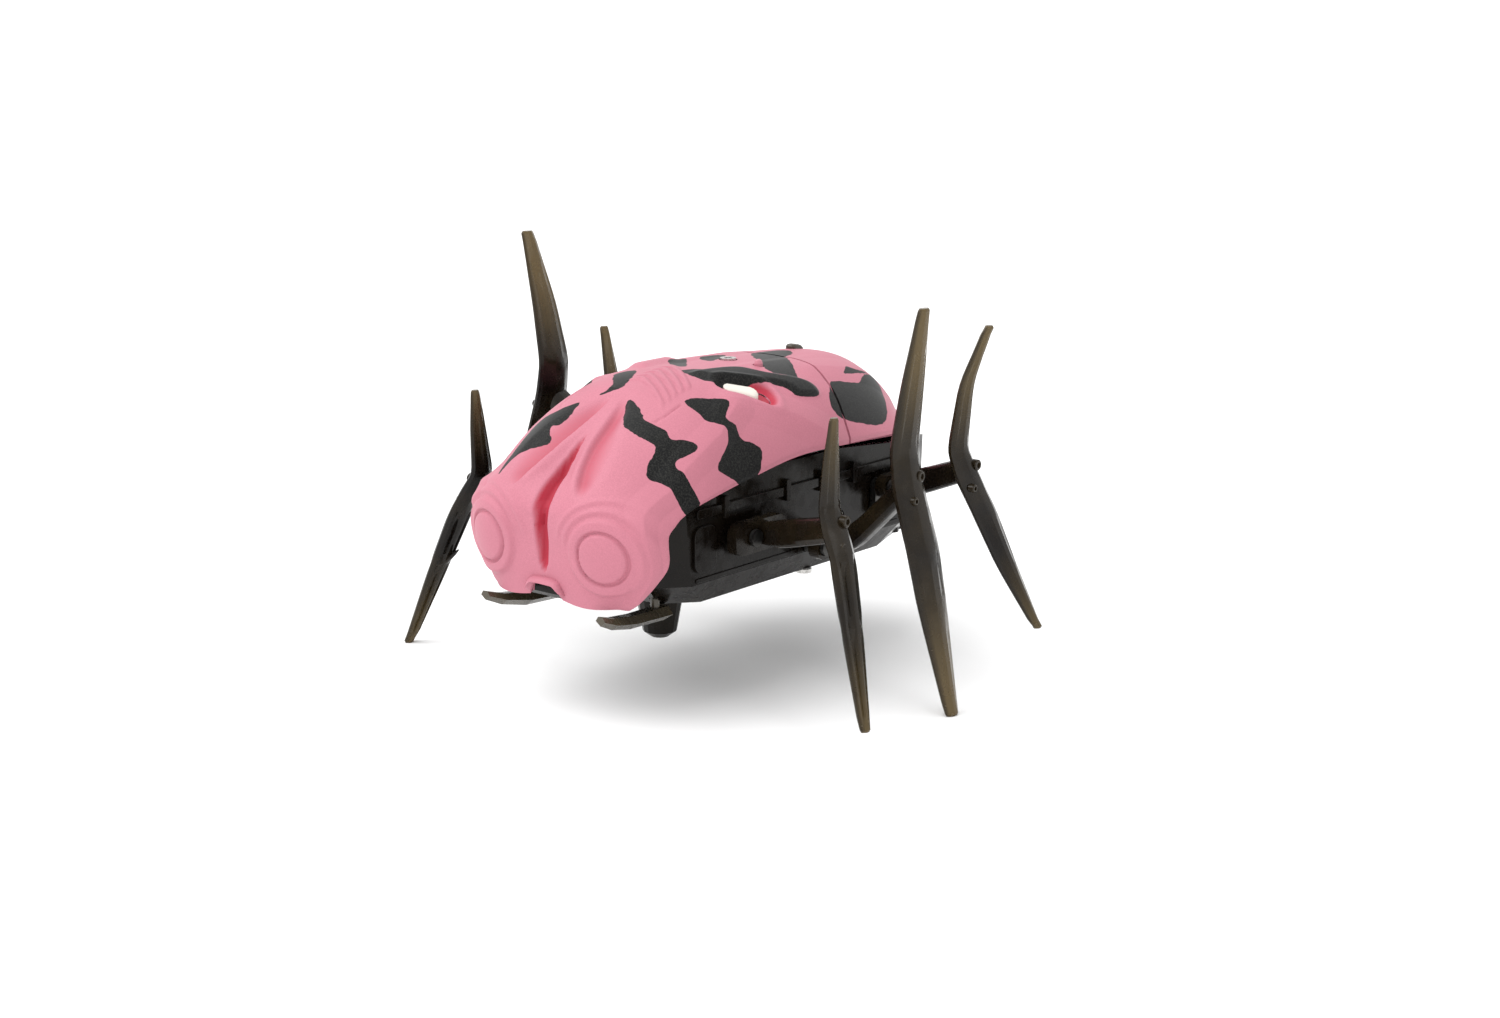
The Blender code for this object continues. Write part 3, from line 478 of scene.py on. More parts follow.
def smoke_look():
    """The hull's smoke plastic: nearly black, with faint lighter clouds."""
    look = Look("smoke_hull", roughness=0.22)
    look.shader.inputs["Specular IOR Level"].default_value = 0.16
    dark, light = tint(SMOKE_THICK, 0.6), tint(SMOKE_THIN, 0.05)
    look.colour(look.mix(look.remap(look.noise(38.0, 3.0), 0.42, 0.75), dark, light))
    look.vary_roughness(look.remap(look.noise(260.0, 2.0), 0.3, 0.7, 0.16, 0.34))
    look.bump(look.noise(180.0, 2.0), 0.08, 0.3)
    return look.material


def metal_look(name, colour, roughness):
    """Turned metal with a fine brushed grain."""
    look = Look(name, roughness=roughness, metallic=1.0)
    grain = look.noise(1800.0, 4.0)
    look.colour(look.mix(look.remap(grain, 0.3, 0.7), tint(colour, 0.78), colour))
    look.vary_roughness(look.remap(grain, 0.3, 0.7, roughness * 0.7, roughness * 1.4))
    look.bump(grain, 0.02, 0.4)
    return look.material


def plastic_look(name, colour, roughness, spread=0.12):
    """Moulded plastic: slightly uneven colour and a fine eggshell surface."""
    look = Look(name, roughness=roughness)
    cloud = look.remap(look.noise(60.0, 3.0), 0.35, 0.65)
    look.colour(look.mix(cloud, tint(colour, 1 - spread), tint(colour, 1 + spread)))
    look.vary_roughness(look.remap(look.noise(700.0, 2.0), 0.3, 0.7, roughness * 0.8, roughness * 1.25))
    look.bump(look.noise(1500.0, 2.0), 0.02, 0.35)
    return look.material


# --- Shell ------------------------------------------------------------------------


def ramp(value, low, high):
    """0 at low, 1 at high, smooth between."""
    t = np.clip((value - low) / (high - low), 0.0, 1.0)
    return t * t * (3 - 2 * t)


def catmull_rom(p0, p1, p2, p3, t):
    """The point at share t of the way from p1 to p2."""
    square, cube = 2 * p0 - 5 * p1 + 4 * p2 - p3, 3 * p1 - p0 - 3 * p2 + p3
    return 0.5 * (2 * p1 + (p2 - p0) * t + square * t**2 + cube * t**3)


def spline(values, u):
    """Catmull-Rom through equally spaced rows, u from 0 to len - 1."""
    last = len(values) - 1
    i = np.minimum(u.astype(int), last - 1)
    around = values[np.maximum(i - 1, 0)], values[i], values[i + 1], values[np.minimum(i + 2, last)]
    return catmull_rom(*around, (u - i)[:, None])


def shell_points(u, side):
    """Points of the shell's outer surface; side runs from -1 on the right edge to 1 on the left."""
    cy, cz, ex, ey, ez, hx, hy, hz, share = spline(STATIONS, u).T
    t = np.abs(side)
    near, second, third, far = (1 - t) ** 3, 3 * t * (1 - t) ** 2, 3 * t**2 * (1 - t), t**3
    x = ex * share * second + (ex + hx) * third + ex * far
    y = cy * (near + second) + (ey + hy) * third + ey * far
    z = cz * (near + second) + (ez + hz) * third + ez * far
    arch = LIP_ARCH * bump_at(x, LIP_ARCH_WIDTH) + LIP_NOTCH * (1 - ramp(x, *LIP_NOTCH_X))
    lip = np.maximum(0.0, 1.0 - u) ** 2 * arch
    return np.stack((np.copysign(x, side), y, z + lip), axis=1)


def shell_normals(u, side):
    step = 0.01
    top = len(STATIONS) - 1
    along = shell_points(np.minimum(u + step, top), side) - shell_points(np.maximum(u - step, 0), side)
    across = shell_points(u, np.minimum(side + step, 1)) - shell_points(u, np.maximum(side - step, -1))
    normal = np.cross(across, along)
    return normal / np.linalg.norm(normal, axis=1)[:, None]


def flat_map(u, side):
    """Station and side as millimetres on a flattened shell."""
    return np.stack((np.asarray(u) * STATION_LENGTH, np.asarray(side) * HALF_GIRTH), axis=1)


def smoothed(outline):
    """A closed outline in flat millimetres, rounded by a Catmull-Rom curve."""
    corners = flat_map(*np.array(outline).T)
    count = len(corners)
    points = []
    for i in range(count):
        around = [corners[(i + k) % count] for k in (-1, 0, 1, 2)]
        for t in np.arange(PATCH_SMOOTHING) / PATCH_SMOOTHING:
            points.append(catmull_rom(*around, t))
    return np.array(points)


def line_distance(at, line):
    """Distance from each point to an open polyline."""
    best = np.full(len(at), np.inf)
    for a, b in zip(line[:-1], line[1:]):
        run = b - a
        t = np.clip(((at - a) @ run) / (run @ run), 0.0, 1.0)
        best = np.minimum(best, np.linalg.norm(at - a - t[:, None] * run, axis=1))
    return best


def inside_distance(at, outline):
    """Distance into a closed outline, negative outside it and never below -PATCH_MARGIN."""
    result = np.full(len(at), -PATCH_MARGIN)
    low, high = outline.min(axis=0) - PATCH_MARGIN, outline.max(axis=0) + PATCH_MARGIN
    near = np.all((at > low) & (at < high), axis=1)
    close = at[near]
    inside = np.zeros(len(close), bool)
    closed = np.vstack((outline, outline[:1]))
    for a, b in zip(closed[:-1], closed[1:]):
        crosses = (a[1] > close[:, 1]) != (b[1] > close[:, 1])
        if a[1] != b[1]:
            reach = (b[0] - a[0]) * (close[:, 1] - a[1]) / (b[1] - a[1]) + a[0]
            inside ^= crosses & (close[:, 0] < reach)
    distance = line_distance(close, closed)
    result[near] = np.maximum(np.where(inside, distance, -distance), -PATCH_MARGIN)
    return result


def camouflage(at):
    """Distance into the nearest patch."""
    return np.max([inside_distance(at, smoothed(patch)) for patch in PATCHES], axis=0)


def bump_at(distance, width):
    """A rounded ridge of height 1."""
    return np.exp(-((distance / width) ** 2))


def nose_groove(u, x):
    """A pointed channel up the middle of the face."""
    stations = (0.62, 0.9, 1.4, 2.0, 2.6, 3.1, 3.5)
    half = np.interp(u, stations, (0.3, 1.9, 2.4, 3.1, 2.6, 1.4, 0.2))
    depth = np.interp(u, stations, (0.0, 1.8, 2.9, 3.2, 2.6, 1.3, 0.0))
    return -depth * ramp(1 - x / half, 0.0, 0.55)


def face_valley(u, x):
    """The broad dip between the two halves of the face, deepest above the eyes."""
    stations = (0.5, 1.2, 1.8, 2.2, 2.6, 3.0, 3.4, 3.9, 4.4)
    depth = np.interp(u, stations, (0.6, 1.0, 1.4, 3.2, 5.0, 5.0, 3.8, 1.8, 0.0))
    return -depth * bump_at(x, 8.5)


def face_hollows(u, x):
    """The soft three-cornered hollow between the welt beside the groove and the brow."""
    inner = np.interp(u, (2.1, 2.7, 3.4, 4.3), (11.0, 7.8, 4.6, 1.2))
    outer = np.interp(u, (2.1, 2.7, 3.1, 3.4, 3.8, 4.4), (15.0, 17.0, 16.4, 14.4, 9.5, 3.0))
    fade = ramp(u, 2.05, 2.5) * (1 - ramp(u, 3.7, 4.4))
    hollow = ramp(x, inner - 0.8, inner + 1.2) * (1 - ramp(x, inner + 1.4, outer))
    welt = bump_at(x - inner + 1.6, 1.4) * ramp(u, 2.1, 2.6) * (1 - ramp(u, 3.2, 3.8))
    return 0.5 * welt - 1.9 * fade * hollow


def eyes(u, x, z):
    """A raised disc in a raised ring, with two thin arcs over it."""
    across, up = x - EYE_PLACE[0], z - EYE_PLACE[1]
    r = np.hypot(across, up)
    inner, outer = EYE_RING_R
    dome = EYE_DISC_HEIGHT + EYE_DOME * (1 - np.clip(r / EYE_DISC_R, 0, 1) ** 2)
    disc = dome * (1 - ramp(r, EYE_DISC_R - 0.5, EYE_DISC_R + 0.6))
    ring = EYE_RING_HEIGHT * ramp(r, inner - 0.6, inner) * (1 - ramp(r, outer - 0.4, outer + 1.0))
    floor = EYE_FLOOR_HEIGHT * (1 - ramp(r, outer, outer + 1.0))
    over = ramp(up, 1.0, 5.0) * ramp(x, 3.5, 7.0)
    arcs = sum(BROW_HEIGHT * bump_at(r - radius, 0.7) for radius in BROW_R) * over
    return np.where(u < 3.2, np.maximum(np.maximum(disc, ring), floor) + arcs, 0.0)


def back_ribs(u, side):
    """Five raised slanting bars on the front of the back, left of the middle."""
    place = (u + RIB_SLANT * np.abs(side) - RIB_START) / RIB_PITCH
    bar = np.abs(place - np.floor(place) - 0.5)
    along = ramp(place, 0.0, 0.25) * (1 - ramp(place, RIB_COUNT - 0.25, RIB_COUNT))
    across = ramp(side, -0.05, -0.02) * (1 - ramp(side, 0.215, 0.25))
    return RIB_HEIGHT * (1 - ramp(bar, 0.24, 0.42)) * along * across


def switch_pocket(points):
    """A dished recess round the switch slot."""
    dx, dy = points[:, 0] - SWITCH_PLACE[0], points[:, 1] - SWITCH_PLACE[1]
    along = dx * math.cos(SWITCH_ANGLE) + dy * math.sin(SWITCH_ANGLE)
    across = -dx * math.sin(SWITCH_ANGLE) + dy * math.cos(SWITCH_ANGLE)
    distance = np.hypot(np.maximum(np.abs(along) - POCKET_HALF_LENGTH, 0), across)
    dish = -POCKET_DEPTH * (1 - ramp(distance, 2.6, 4.3)) + 0.3 * bump_at(distance - 4.8, 0.9)
    return np.where(points[:, 2] > BACK_MIN_Z, dish, 0.0)


def relief(u, side, points):
    """Height over the CAD surface, in millimetres."""
    x = np.abs(points[:, 0])
    at = flat_map(u, np.abs(side))
    height = nose_groove(u, x) + face_valley(u, x) + face_hollows(u, x)
    height += eyes(u, x, points[:, 2]) + back_ribs(u, side) + switch_pocket(points)
    for line, crest in CREASES:
        distance = line_distance(at, flat_map(*np.array(line).T))
        height += crest * np.maximum(0.0, 1 - distance / CREASE_REACH)
    wing = inside_distance(at, smoothed(WING))
    height += WING_HEIGHT * ramp(wing, -1.0, 2.2)
    deck = (1 - ramp(np.abs(side), 0.08, 0.16)) * ramp(u, 5.4, 5.9) * (1 - ramp(u, 6.8, 7.6))
    seam = bump_at(line_distance(at, flat_map(*SEAM)), 0.35)
    rim = ramp(np.abs(side), 0.965, 1.0)
    return height - DECK_DEPTH * deck - SEAM_DEPTH * seam - RIM_DEPTH * rim


def skin_faces(rows):
    """Quads of an outer skin, of an inner skin behind it, and of the walls that join their borders."""
    count = (rows + 1) * SHELL_COLUMNS
    index = np.arange(count).reshape(rows + 1, SHELL_COLUMNS)
    a, b, c, d = index[:-1, :-1], index[:-1, 1:], index[1:, 1:], index[1:, :-1]
    quads = [np.stack((a, d, c, b), -1).reshape(-1, 4), np.stack((a, b, c, d), -1).reshape(-1, 4) + count]
    for border in (index[0], index[-1][::-1], index[::-1, 0], index[:, -1]):
        start, end = border[:-1], border[1:]
        quads.append(np.stack((start, end, end + count, start + count), -1))
    return np.vstack(quads).tolist()


def shell_grid(name, u0, u1, look):
    """A stretch of the shell with its relief, closed by an inner skin and its edges."""
    rows = round((u1 - u0) * ROWS_PER_STATION)
    lines, columns = np.linspace(u0, u1, rows + 1), np.linspace(-1, 1, SHELL_COLUMNS)
    us, sides = np.meshgrid(lines, columns, indexing="ij")
    u, side = us.ravel(), sides.ravel()
    base, normal = shell_points(u, side), shell_normals(u, side)
    height = relief(u, side, base)
    outer = base + normal * height[:, None]
    inner = base + normal * (np.minimum(height, 0.0) - SHELL_THICK)[:, None]
    obj = facing_out(mesh_object(name, np.vstack((outer, inner)), skin_faces(rows), look, 60))
    camo = camouflage(flat_map(u, side))
    x = np.abs(base[:, 0])
    # how far each point lies down in a recess; stored as depth, it paints shade into the groove, hollows and
    # switch pocket
    recess = nose_groove(u, x) + 0.25 * face_hollows(u, x) + switch_pocket(base)
    depth = np.clip((-recess - 0.1) / 1.1, 0.0, 1.0)
    set_attribute(obj, "camo", np.concatenate((camo, np.full(len(u), -PATCH_MARGIN))))
    set_attribute(obj, "depth", np.concatenate((depth, np.zeros(len(u)))))
    return obj


def switch_outline(length, width, shift=0.0):
    """A capsule along the switch's direction, shifted along it from the middle of the slot."""
    along, across = math.cos(SWITCH_ANGLE), math.sin(SWITCH_ANGLE)
    x, y = SWITCH_PLACE
    points = [(a + shift, b) for a, b in capsule(length, width)]
    return [(x + a * along - b * across, y + a * across + b * along) for a, b in points]


def below_shell(outline, drop):
    """The outline's points at a drop under the shell's surface."""
    return [(x, y, z - drop) for (x, y), z in zip(outline, shell_height(outline))]


def make_shells(look):
    """Both shell mouldings, the front one with its screw hole, peg hole and switch slot."""
    top = shell_grid("top_shell_moulding", 0.0, PARTING_STATION - PARTING_GAP, look)
    holes = (
        slab_z("hole", circle(SCREW_PLACE, 1.3), 70, 95, look),
        slab_z("sink", circle(SCREW_PLACE, SCREW_HEAD_R + 0.3), SCREW_HEAD_Z - 1.4, 95, look),
        slab_z("hole", circle(PEG_PLACE, PEG_R + 0.3), 70, 95, look),
        slab_z("slot", switch_outline(*SWITCH_SLOT), 70, 95, look),
    )
    combine(top, "DIFFERENCE", *holes)
    rear = shell_grid("rear_cover_moulding", PARTING_STATION + PARTING_GAP, len(STATIONS) - 1, look)
    for obj, node in ((top, "top_shell"), (rear, "rear_cover")):
        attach(obj, "hull")
        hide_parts(node)


def shell_height(places):
    """Height of the shell's surface over each (x, y) near the switch."""
    us, sides = np.meshgrid(np.linspace(5.0, 6.4, 141), np.linspace(0.15, 0.75, 121), indexing="ij")
    surface = shell_points(us.ravel(), sides.ravel())
    return [surface[np.argmin(np.hypot(surface[:, 0] - x, surface[:, 1] - y)), 2] for x, y in places]


def make_switch_cap(look):
    """The switch's long cap in its slot, at the front end of its travel."""
    length, width = SLIDER_CAP
    rings = []
    for less, drop in ((0.2, 1.9), (0.0, 1.7), (0.0, 0.75), (0.5, 0.45), (2.6, 0.35)):
        outline = switch_outline(length - less, width - less, -SWITCH_TRAVEL / 2)
        rings.append(below_shell(outline, drop))
    cap = loft("switch_cap", rings, look)
    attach(cap, "switch_slider")
    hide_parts("switch_slider")


def make_switch_tray(look):
    """The pocket's floor under the cap, coloured a darker pink as painted shade in the pocket."""
    outline = switch_outline(SWITCH_SLOT[0] - 0.2, SWITCH_SLOT[1] - 0.2)
    tray = loft("switch_tray", [below_shell(outline, drop) for drop in (3.2, 2.3)], look)
    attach(tray, "hull")


# --- Legs -----------------------------------------------------------------------


def lift(row, side):
    """Height of a leg over its crank's mid height: down for a standing leg, up for a lifted one."""
    return -THROWS[row] if (row, side) in STANDING else THROWS[row]


def blade_profile(channel):
    """Half sections (share of width, share of thickness), flat or with a channel each side of a ridge."""
    width = (0.5, 0.44, 0.37, 0.31, 0.16, 0.10, 0.0)
    flat = (0.06, 0.19, 0.27, 0.34, 0.49, 0.50, 0.50)
    grooved = (0.06, 0.24, 0.32, 0.16, 0.20, 0.48, 0.50)
    thick = [f + (g - f) * channel for f, g in zip(flat, grooved)]
    front = list(zip(width, thick)) + [(-w, t) for w, t in list(zip(width, thick))[-2::-1]]
    return front + [(w, -t) for w, t in front[::-1]]


def channel_share(place, row):
    """How deep the channels are along a blade, by section number from the spike's tip to the foot."""
    place = np.array(place)
    upper = ramp(place, 0.35, 0.7) * (1 - ramp(place, 1.7, 2.2)) * 0.3
    lower = ramp(place, 3.9, 4.3) * (1 - ramp(place, 5.86, 5.96))
    web = 1 - bump_at(place - 5.02, 0.10)
    return float(upper + lower * web * (1.0 if row == "front" else 0.18))


def blade_rings(row, up):
    """Sections of the blade from the spike's tip to the foot."""
    table = np.array(LEG_BLADES[row])
    last = len(table) - 1
    places = np.linspace(0, last, last * SECTIONS_PER_SPAN + 1)
    rings = []
    for place, (x, y, z, width, thick) in zip(places, linear_rows(table, places)):
        profile = blade_profile(channel_share(place, row))
        rings.append([(x + thick * b, y + width * a, z + up) for a, b in profile])
    top, foot = rings[0], rings[-1]
    rounded_top = [drawn_in(top, 0.78, 0.0), drawn_in(top, 1.0, -0.6)]
    rounded_foot = [drawn_in(foot, 1.0, 0.6), drawn_in(foot, 0.78, 0.0)]
    return rounded_top + rings[1:-1] + rounded_foot


def drawn_in(ring, share, rise):
    """A ring scaled about its middle and moved up; two of them round off a blade's end."""
    centre = np.mean(ring, axis=0)
    return [tuple(centre + (np.array(p) - centre) * share + (0, 0, rise)) for p in ring]


def linear_rows(table, places):
    """Rows between the table's, straight apart from softly rounded joints."""
    softened = []
    for place in places:
        near = np.clip(place + np.array((-0.16, 0.0, 0.16)), 0, len(table) - 1)
        rows = np.array([[np.interp(p, range(len(table)), column) for column in table.T] for p in near])
        softened.append(rows.mean(axis=0) if 0 < place < len(table) - 1 else rows[1])
    return softened


def squared_circle(sides, power):
    """Points round the origin, between a circle at power 1 and a square at power 0."""
    points = circle((0.0, 0.0), 1.0, sides)
    return [tuple(math.copysign(abs(v) ** power, v) for v in point) for point in points]


def arm_rings(row, up):
    """Sections of the arm from the link out to the knee."""
    table = np.array(LEG_ARMS[row])
    places = np.linspace(0, 2, 13)
    rings = []
    for x, y, z, height, depth in linear_rows(table, places):
        shape = squared_circle(ARM_SIDES, ARM_SQUARENESS)
        rings.append([(x, y + depth / 2 * a, z + up + height / 2 * b) for a, b in shape])
    return rings


def mirrored(rings, side):
    return [[(x * side, y, z) for x, y, z in ring] for ring in rings]


def barb_rings(root, tip, up):
    """Round sections of the barb, tapering from its root to its tip."""
    rings = []
    for share, half in ((0.0, 1.4), (0.35, 1.25), (0.7, 0.9), (1.0, 0.35)):
        x, y, z = (a + (b - a) * share for a, b in zip(root, tip))
        rings.append([(x + a, y + b, z + up) for a, b in circle((0, 0), half, 12)])
    return rings


def link_outline(row, pin):
    """The plate that joins a leg's two pins; the front leg's reaches further forward."""
    reach, half = (7.0, 4.2) if row == "front" else (LINK_R, LINK_R)
    y, z = pin
    return rounded_rectangle(y - reach, y + FOLLOWER_OFFSET + LINK_R, z - half, z + half, min(half, 3.1))


def make_leg(row, side_name, look):
    """A leg as one moulding: blade, arm, link and barb, bored for its two pins."""
    side, up = SIDES[side_name], lift(row, side_name)
    y = CRANK_SPACING * (ROWS.index(row) - 1)
    pins = ((y, CRANK_Z + up), (y + FOLLOWER_OFFSET, CRANK_Z + up))
    leg = loft(f"leg_{row}_{side_name}_moulding", mirrored(blade_rings(row, up), side), look)
    link = slab_x("link", link_outline(row, pins[0]), *sorted(side * x for x in LINK_X), look)
    arm = loft("arm", mirrored(arm_rings(row, up), side), look)
    barb = loft("barb", mirrored(barb_rings(*LEG_BARBS[row], up), side), look)
    combine(leg, "UNION", arm, link, barb)
    for centre in pins:
        through, recess = (sorted((side * x, side * 40.0)) for x in (32.0, LINK_X[1]))
        bore = slab_x("bore", circle(centre, PIN_BORE_R), *through, look)
        combine(leg, "DIFFERENCE", bore, slab_x("recess", circle(centre, CAP_RECESS_R), *recess, look))
    leg.data.shade_smooth()
    leg.data.set_sharp_from_angle(angle=math.radians(LEG_FACET_ANGLE))
    tint_by_thickness_and_edge_shade(leg, row, side, up)
    body = f"leg_{row}_{side_name}"
    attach(leg, body)
    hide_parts(body)
    make_knee_pins(row, side_name, up, look)


def tint_by_thickness_and_edge_shade(leg, row, side, up):
    """Vertices far from the knee are thin and let light through; the outer part of each blade's width is
    darkened as painted shade along its edges.
    """
    points = np.empty(len(leg.data.vertices) * 3)
    leg.data.vertices.foreach_get("co", points)
    points = points.reshape(-1, 3) / MM
    x, y, z = LEG_BLADES[row][KNEE_SECTION][:3]
    distance = np.linalg.norm(points - (x * side, y, z + up), axis=1)
    on_blade = ramp(np.abs(points[:, 0]), 52.0, 60.0)
    table = np.array(LEG_BLADES[row])[::-1]
    middle, width = (np.interp(points[:, 2] - up, table[:, 2], table[:, k]) for k in (1, 3))
    # painted shade: the outer part of the blade's width is kept dark, though the blade is thinnest there
    edge = ramp(np.abs(points[:, 1] - middle) / (width / 2), 0.72, 1.0)
    reach = np.where(points[:, 2] - up > z, ramp(distance, 6.0, 38.0), ramp(distance, 20.0, 62.0))
    set_attribute(leg, "thin", reach * on_blade * (1 - 0.75 * edge) * 0.95 + 0.05)


def make_knee_pins(row, side_name, up, look):
    """Moulded bosses on the outside of the knee."""
    side = SIDES[side_name]
    x, y, z, width, thick = LEG_BLADES[row][KNEE_SECTION]
    for i, (share, rise, radius) in enumerate(KNEE_BOSSES):
        centre = (y + share * width, z + up + rise)
        face = x - KNEE_SLOPE * rise + thick / 2
        rings = []
        for out, size in BOSS_SECTION:
            rings.append([(side * (face + out), a, b) for a, b in circle(centre, radius * size, 24)])
        boss = loft(f"knee_boss_{i + 1}_{row}_{side_name}", rings, look)
        set_attribute(boss, "thin", np.full(len(boss.data.vertices), 0.12))
        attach(boss, f"leg_{row}_{side_name}")


# --- Hull and small pieces --------------------------------------------------------


def make_tail_nub(look):
    """A small oval lug on top of the rear cover."""
    middle = shell_points(np.array([NUB_PLACE[0]]), np.array([NUB_PLACE[1]]))[0]
    rings = []
    for up, share in ((-1.2, 1.0), (0.5, 1.0), (1.1, 0.8), (1.4, 0.45)):
        outline = capsule(NUB_SIZE[0] * share, NUB_SIZE[1] * share)
        rings.append([(middle[0] + b, middle[1] + a, middle[2] + up - 0.18 * a) for a, b in outline])
    nub = loft("tail_nub", rings, look)
    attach(nub, "hull")


def make_nose_block(look):
    """The tub's front block, seen through the notch in the shell's lip."""
    rings = []
    for y, grow in ((-56.0, 0.0), (-63.2, 0.0), (-64.4, -1.2)):
        outline = rounded_rectangle(-14.0 - grow, 14.0 + grow, 31.0 - grow, 42.0 + grow, 2.4)
        rings.append([(x, y, z) for x, z in outline])
    block = loft("hull_nose_block", rings, look)
    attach(block, "hull")


def make_side_mouldings(look):
    """Rails, ribs and a framed panel on each side of the tub."""
    panels = {
        "top_rail": (rounded_rectangle(-46.0, 46.0, 53.2, 55.6, 0.8), 0.9),
        "lower_rail": (rounded_rectangle(-46.0, 42.0, 36.4, 37.6, 0.5), 0.35),
        "front_pad": (rounded_rectangle(-47.0, -38.5, 39.0, 51.0, 2.6), 0.8),
        "rear_pad": (rounded_rectangle(43.0, 51.0, 40.0, 51.0, 2.6), 0.5),
    }
    for i, y in enumerate((-35.0, -9.5, 5.5, 20.0, 46.5)):
        panels[f"upright_{i + 1}"] = (rounded_rectangle(y - 0.9, y + 0.9, 51.8, 57.6, 0.4), 1.5)
    for side_name, side in SIDES.items():
        for name, (outline, proud) in panels.items():
            span = sorted((side * (HULL_SIDE_X - 1.2), side * (HULL_SIDE_X + proud)))
            piece = bevel(slab_x(f"hull_{name}_{side_name}", outline, *span, look), 0.15)
            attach(piece, "hull")


# Look of a CAD piece, by the start of its name.
LOOK_BY_PREFIX = {
    "chassis_tub": "smoke", "belly_cover": "smoke", "front_skid": "smoke", "mandible": "mandible",
    "motor_pinion": "brass", "contact": "brass", "motor": "steel", "main_axle": "steel",
    "crank": "dark_steel", "follower": "dark_steel",
    "shell_screw": "steel", "door_screw": "steel", "belly_screw": "steel",
    "gear": "nylon", "idler": "nylon", "drive_gear": "nylon", "reduction": "nylon", "switch": "nylon",
    "gearbox_frame": "black", "battery": "cell", "circuit_board": "board", "shell_peg": "peg",
}
# Width of the rounded edges of CAD pieces, by the start of their names.
SOFT_EDGE = {
    "chassis_tub": 0.6, "belly_cover": 0.3, "mandible": 0.4, "switch": 0.2, "motor": 0.3, "shell_screw": 0.12,
}


def first_match(name, table):
    """The value of the longest key that the name starts with."""
    keys = [key for key in table if name.startswith(key)]
    return table[max(keys, key=len)] if keys else None


def finish_cad_nodes(looks):
    """Gives every CAD piece that stays visible its look and its soft edges."""
    replaced = {"top_shell", "rear_cover", "switch_slider"}
    replaced |= {f"leg_{row}_{side}" for row in ROWS for side in SIDES}
    for name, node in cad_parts.items():
        if name in replaced:
            continue
        look = looks[first_match(name, LOOK_BY_PREFIX) or "nylon"]
        node.data.materials.clear()
        node.data.materials.append(look)
        width = first_match(name, SOFT_EDGE)
        if width:
            bevel(node, width)


# --- Stage ------------------------------------------------------------------------


def make_camera():
    """A camera on a long lens, level with the horizon."""
    target = Vector(VIEW_TARGET)
    back = Vector((
        math.sin(VIEW_AZIMUTH) * math.cos(VIEW_ELEVATION),
        -math.cos(VIEW_AZIMUTH) * math.cos(VIEW_ELEVATION),
        math.sin(VIEW_ELEVATION),
    ))
    camera = bpy.data.objects.new("camera", bpy.data.cameras.new("camera"))
    camera.location = target + back * VIEW_DISTANCE
    camera.rotation_euler = back.to_track_quat("Z", "Y").to_euler()
    camera.data.lens = FOCAL_LENGTH
    camera.data.sensor_width = SENSOR_WIDTH
    camera.data.clip_start = 0.01
    bpy.context.scene.collection.objects.link(camera)
    bpy.context.scene.camera = camera


def area_light(name, place, target, size, power):
    light = bpy.data.lights.new(name, "AREA")
    light.shape = "RECTANGLE"
    light.size, light.size_y = size
    light.energy = power
    obj = bpy.data.objects.new(name, light)
    obj.location = place
    obj.rotation_euler = (Vector(place) - Vector(target)).to_track_quat("Z", "Y").to_euler()
    bpy.context.scene.collection.objects.link(obj)


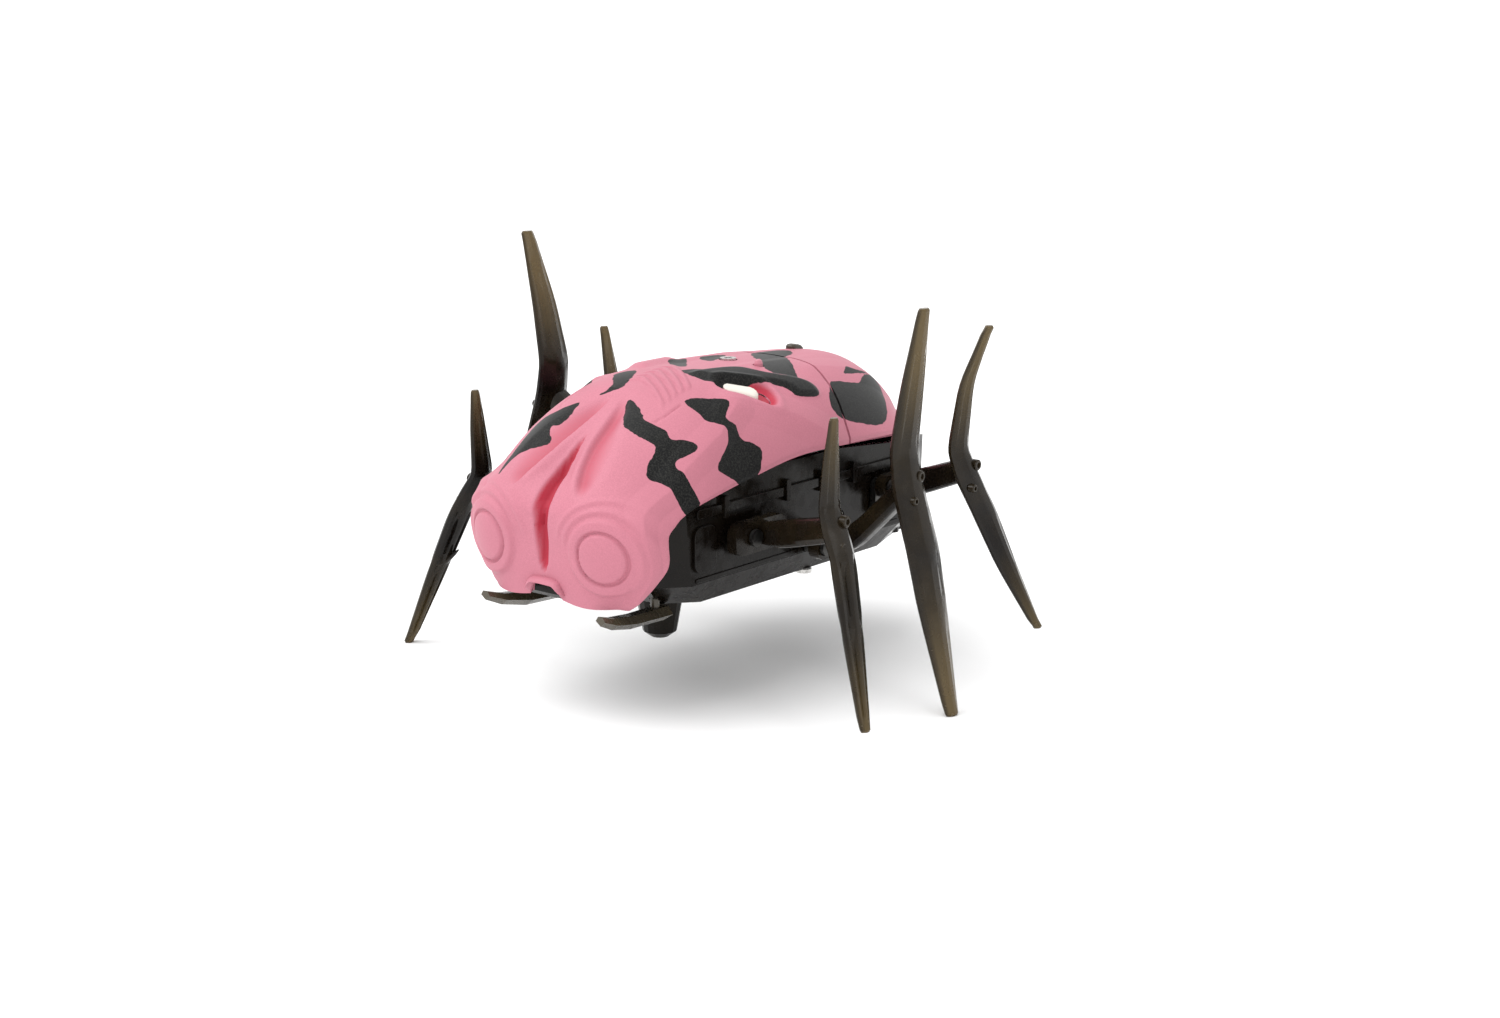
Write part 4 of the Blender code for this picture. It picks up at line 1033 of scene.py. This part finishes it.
def make_stage():
    """A white floor in soft light from above and in front."""
    look = Look("floor", roughness=0.9)
    look.shader.inputs["Specular IOR Level"].default_value = 0.1
    look.colour(look.mix(look.noise(3.0), (0.93, 0.93, 0.93), (0.95, 0.95, 0.95)))
    corners = [(x * FLOOR_HALF, y * FLOOR_HALF, 0) for x, y in ((-1, -1), (1, -1), (1, 1), (-1, 1))]
    floor = mesh_object("floor", corners, [(0, 1, 2, 3)], look.material)
    world = bpy.data.worlds.new("studio")
    world.use_nodes = True
    world.node_tree.nodes["Background"].inputs["Color"].default_value = (1.0, 1.0, 1.0, 1.0)
    world.node_tree.nodes["Background"].inputs["Strength"].default_value = 1.05
    bpy.context.scene.world = world
    bpy.context.scene.view_settings.view_transform = "Standard"
    middle = (0.0, 0.0, 0.05)
    area_light("key", (-0.35, -0.55, 0.85), middle, (0.5, 0.5), 1.6)
    area_light("fill", (0.9, -0.3, 0.5), middle, (0.2, 0.8), 0.8)
    sun = bpy.data.objects.new("sky_panel", bpy.data.lights.new("sky_panel", "SUN"))
    sun.data.energy = 1.8
    sun.data.angle = math.radians(70)
    sun.rotation_euler = Vector((-0.35, -0.45, 1.0)).to_track_quat("Z", "Y").to_euler()
    bpy.context.scene.collection.objects.link(sun)


def main():
    make_camera()
    make_stage()
    smoke, leg = smoke_look(), leg_look()
    looks = {
        "smoke": smoke,
        "mandible": plastic_look("smoke_mandible", (0.045, 0.036, 0.022), 0.25, 0.3),
        "steel": metal_look("steel", (0.60, 0.59, 0.57), 0.28),
        "dark_steel": metal_look("blackened_steel", (0.07, 0.068, 0.065), 0.38),
        "brass": metal_look("brass", (0.70, 0.52, 0.25), 0.35),
        "nylon": plastic_look("white_nylon", (0.72, 0.69, 0.62), 0.45, 0.05),
        "black": plastic_look("black_plastic", (0.018, 0.018, 0.02), 0.4),
        "cell": plastic_look("cell_jacket", (0.10, 0.11, 0.13), 0.3),
        "board": plastic_look("board_green", (0.02, 0.14, 0.06), 0.35),
        # painted shade: a darker pink for the switch pocket's floor
        "painted_shade_pink": plastic_look("painted_shade_pink_recess", PINK_PAINTED_SHADE, 0.5, 0.05),
        "peg": plastic_look("pink_peg", PINK, 0.42, 0.04),
    }
    make_shells(shell_look())
    make_switch_cap(looks["nylon"])
    make_switch_tray(looks["painted_shade_pink"])
    make_tail_nub(looks["mandible"])
    for row in ROWS:
        for side_name in SIDES:
            make_leg(row, side_name, leg)
    make_nose_block(smoke)
    make_side_mouldings(smoke)
    finish_cad_nodes(looks)


main()
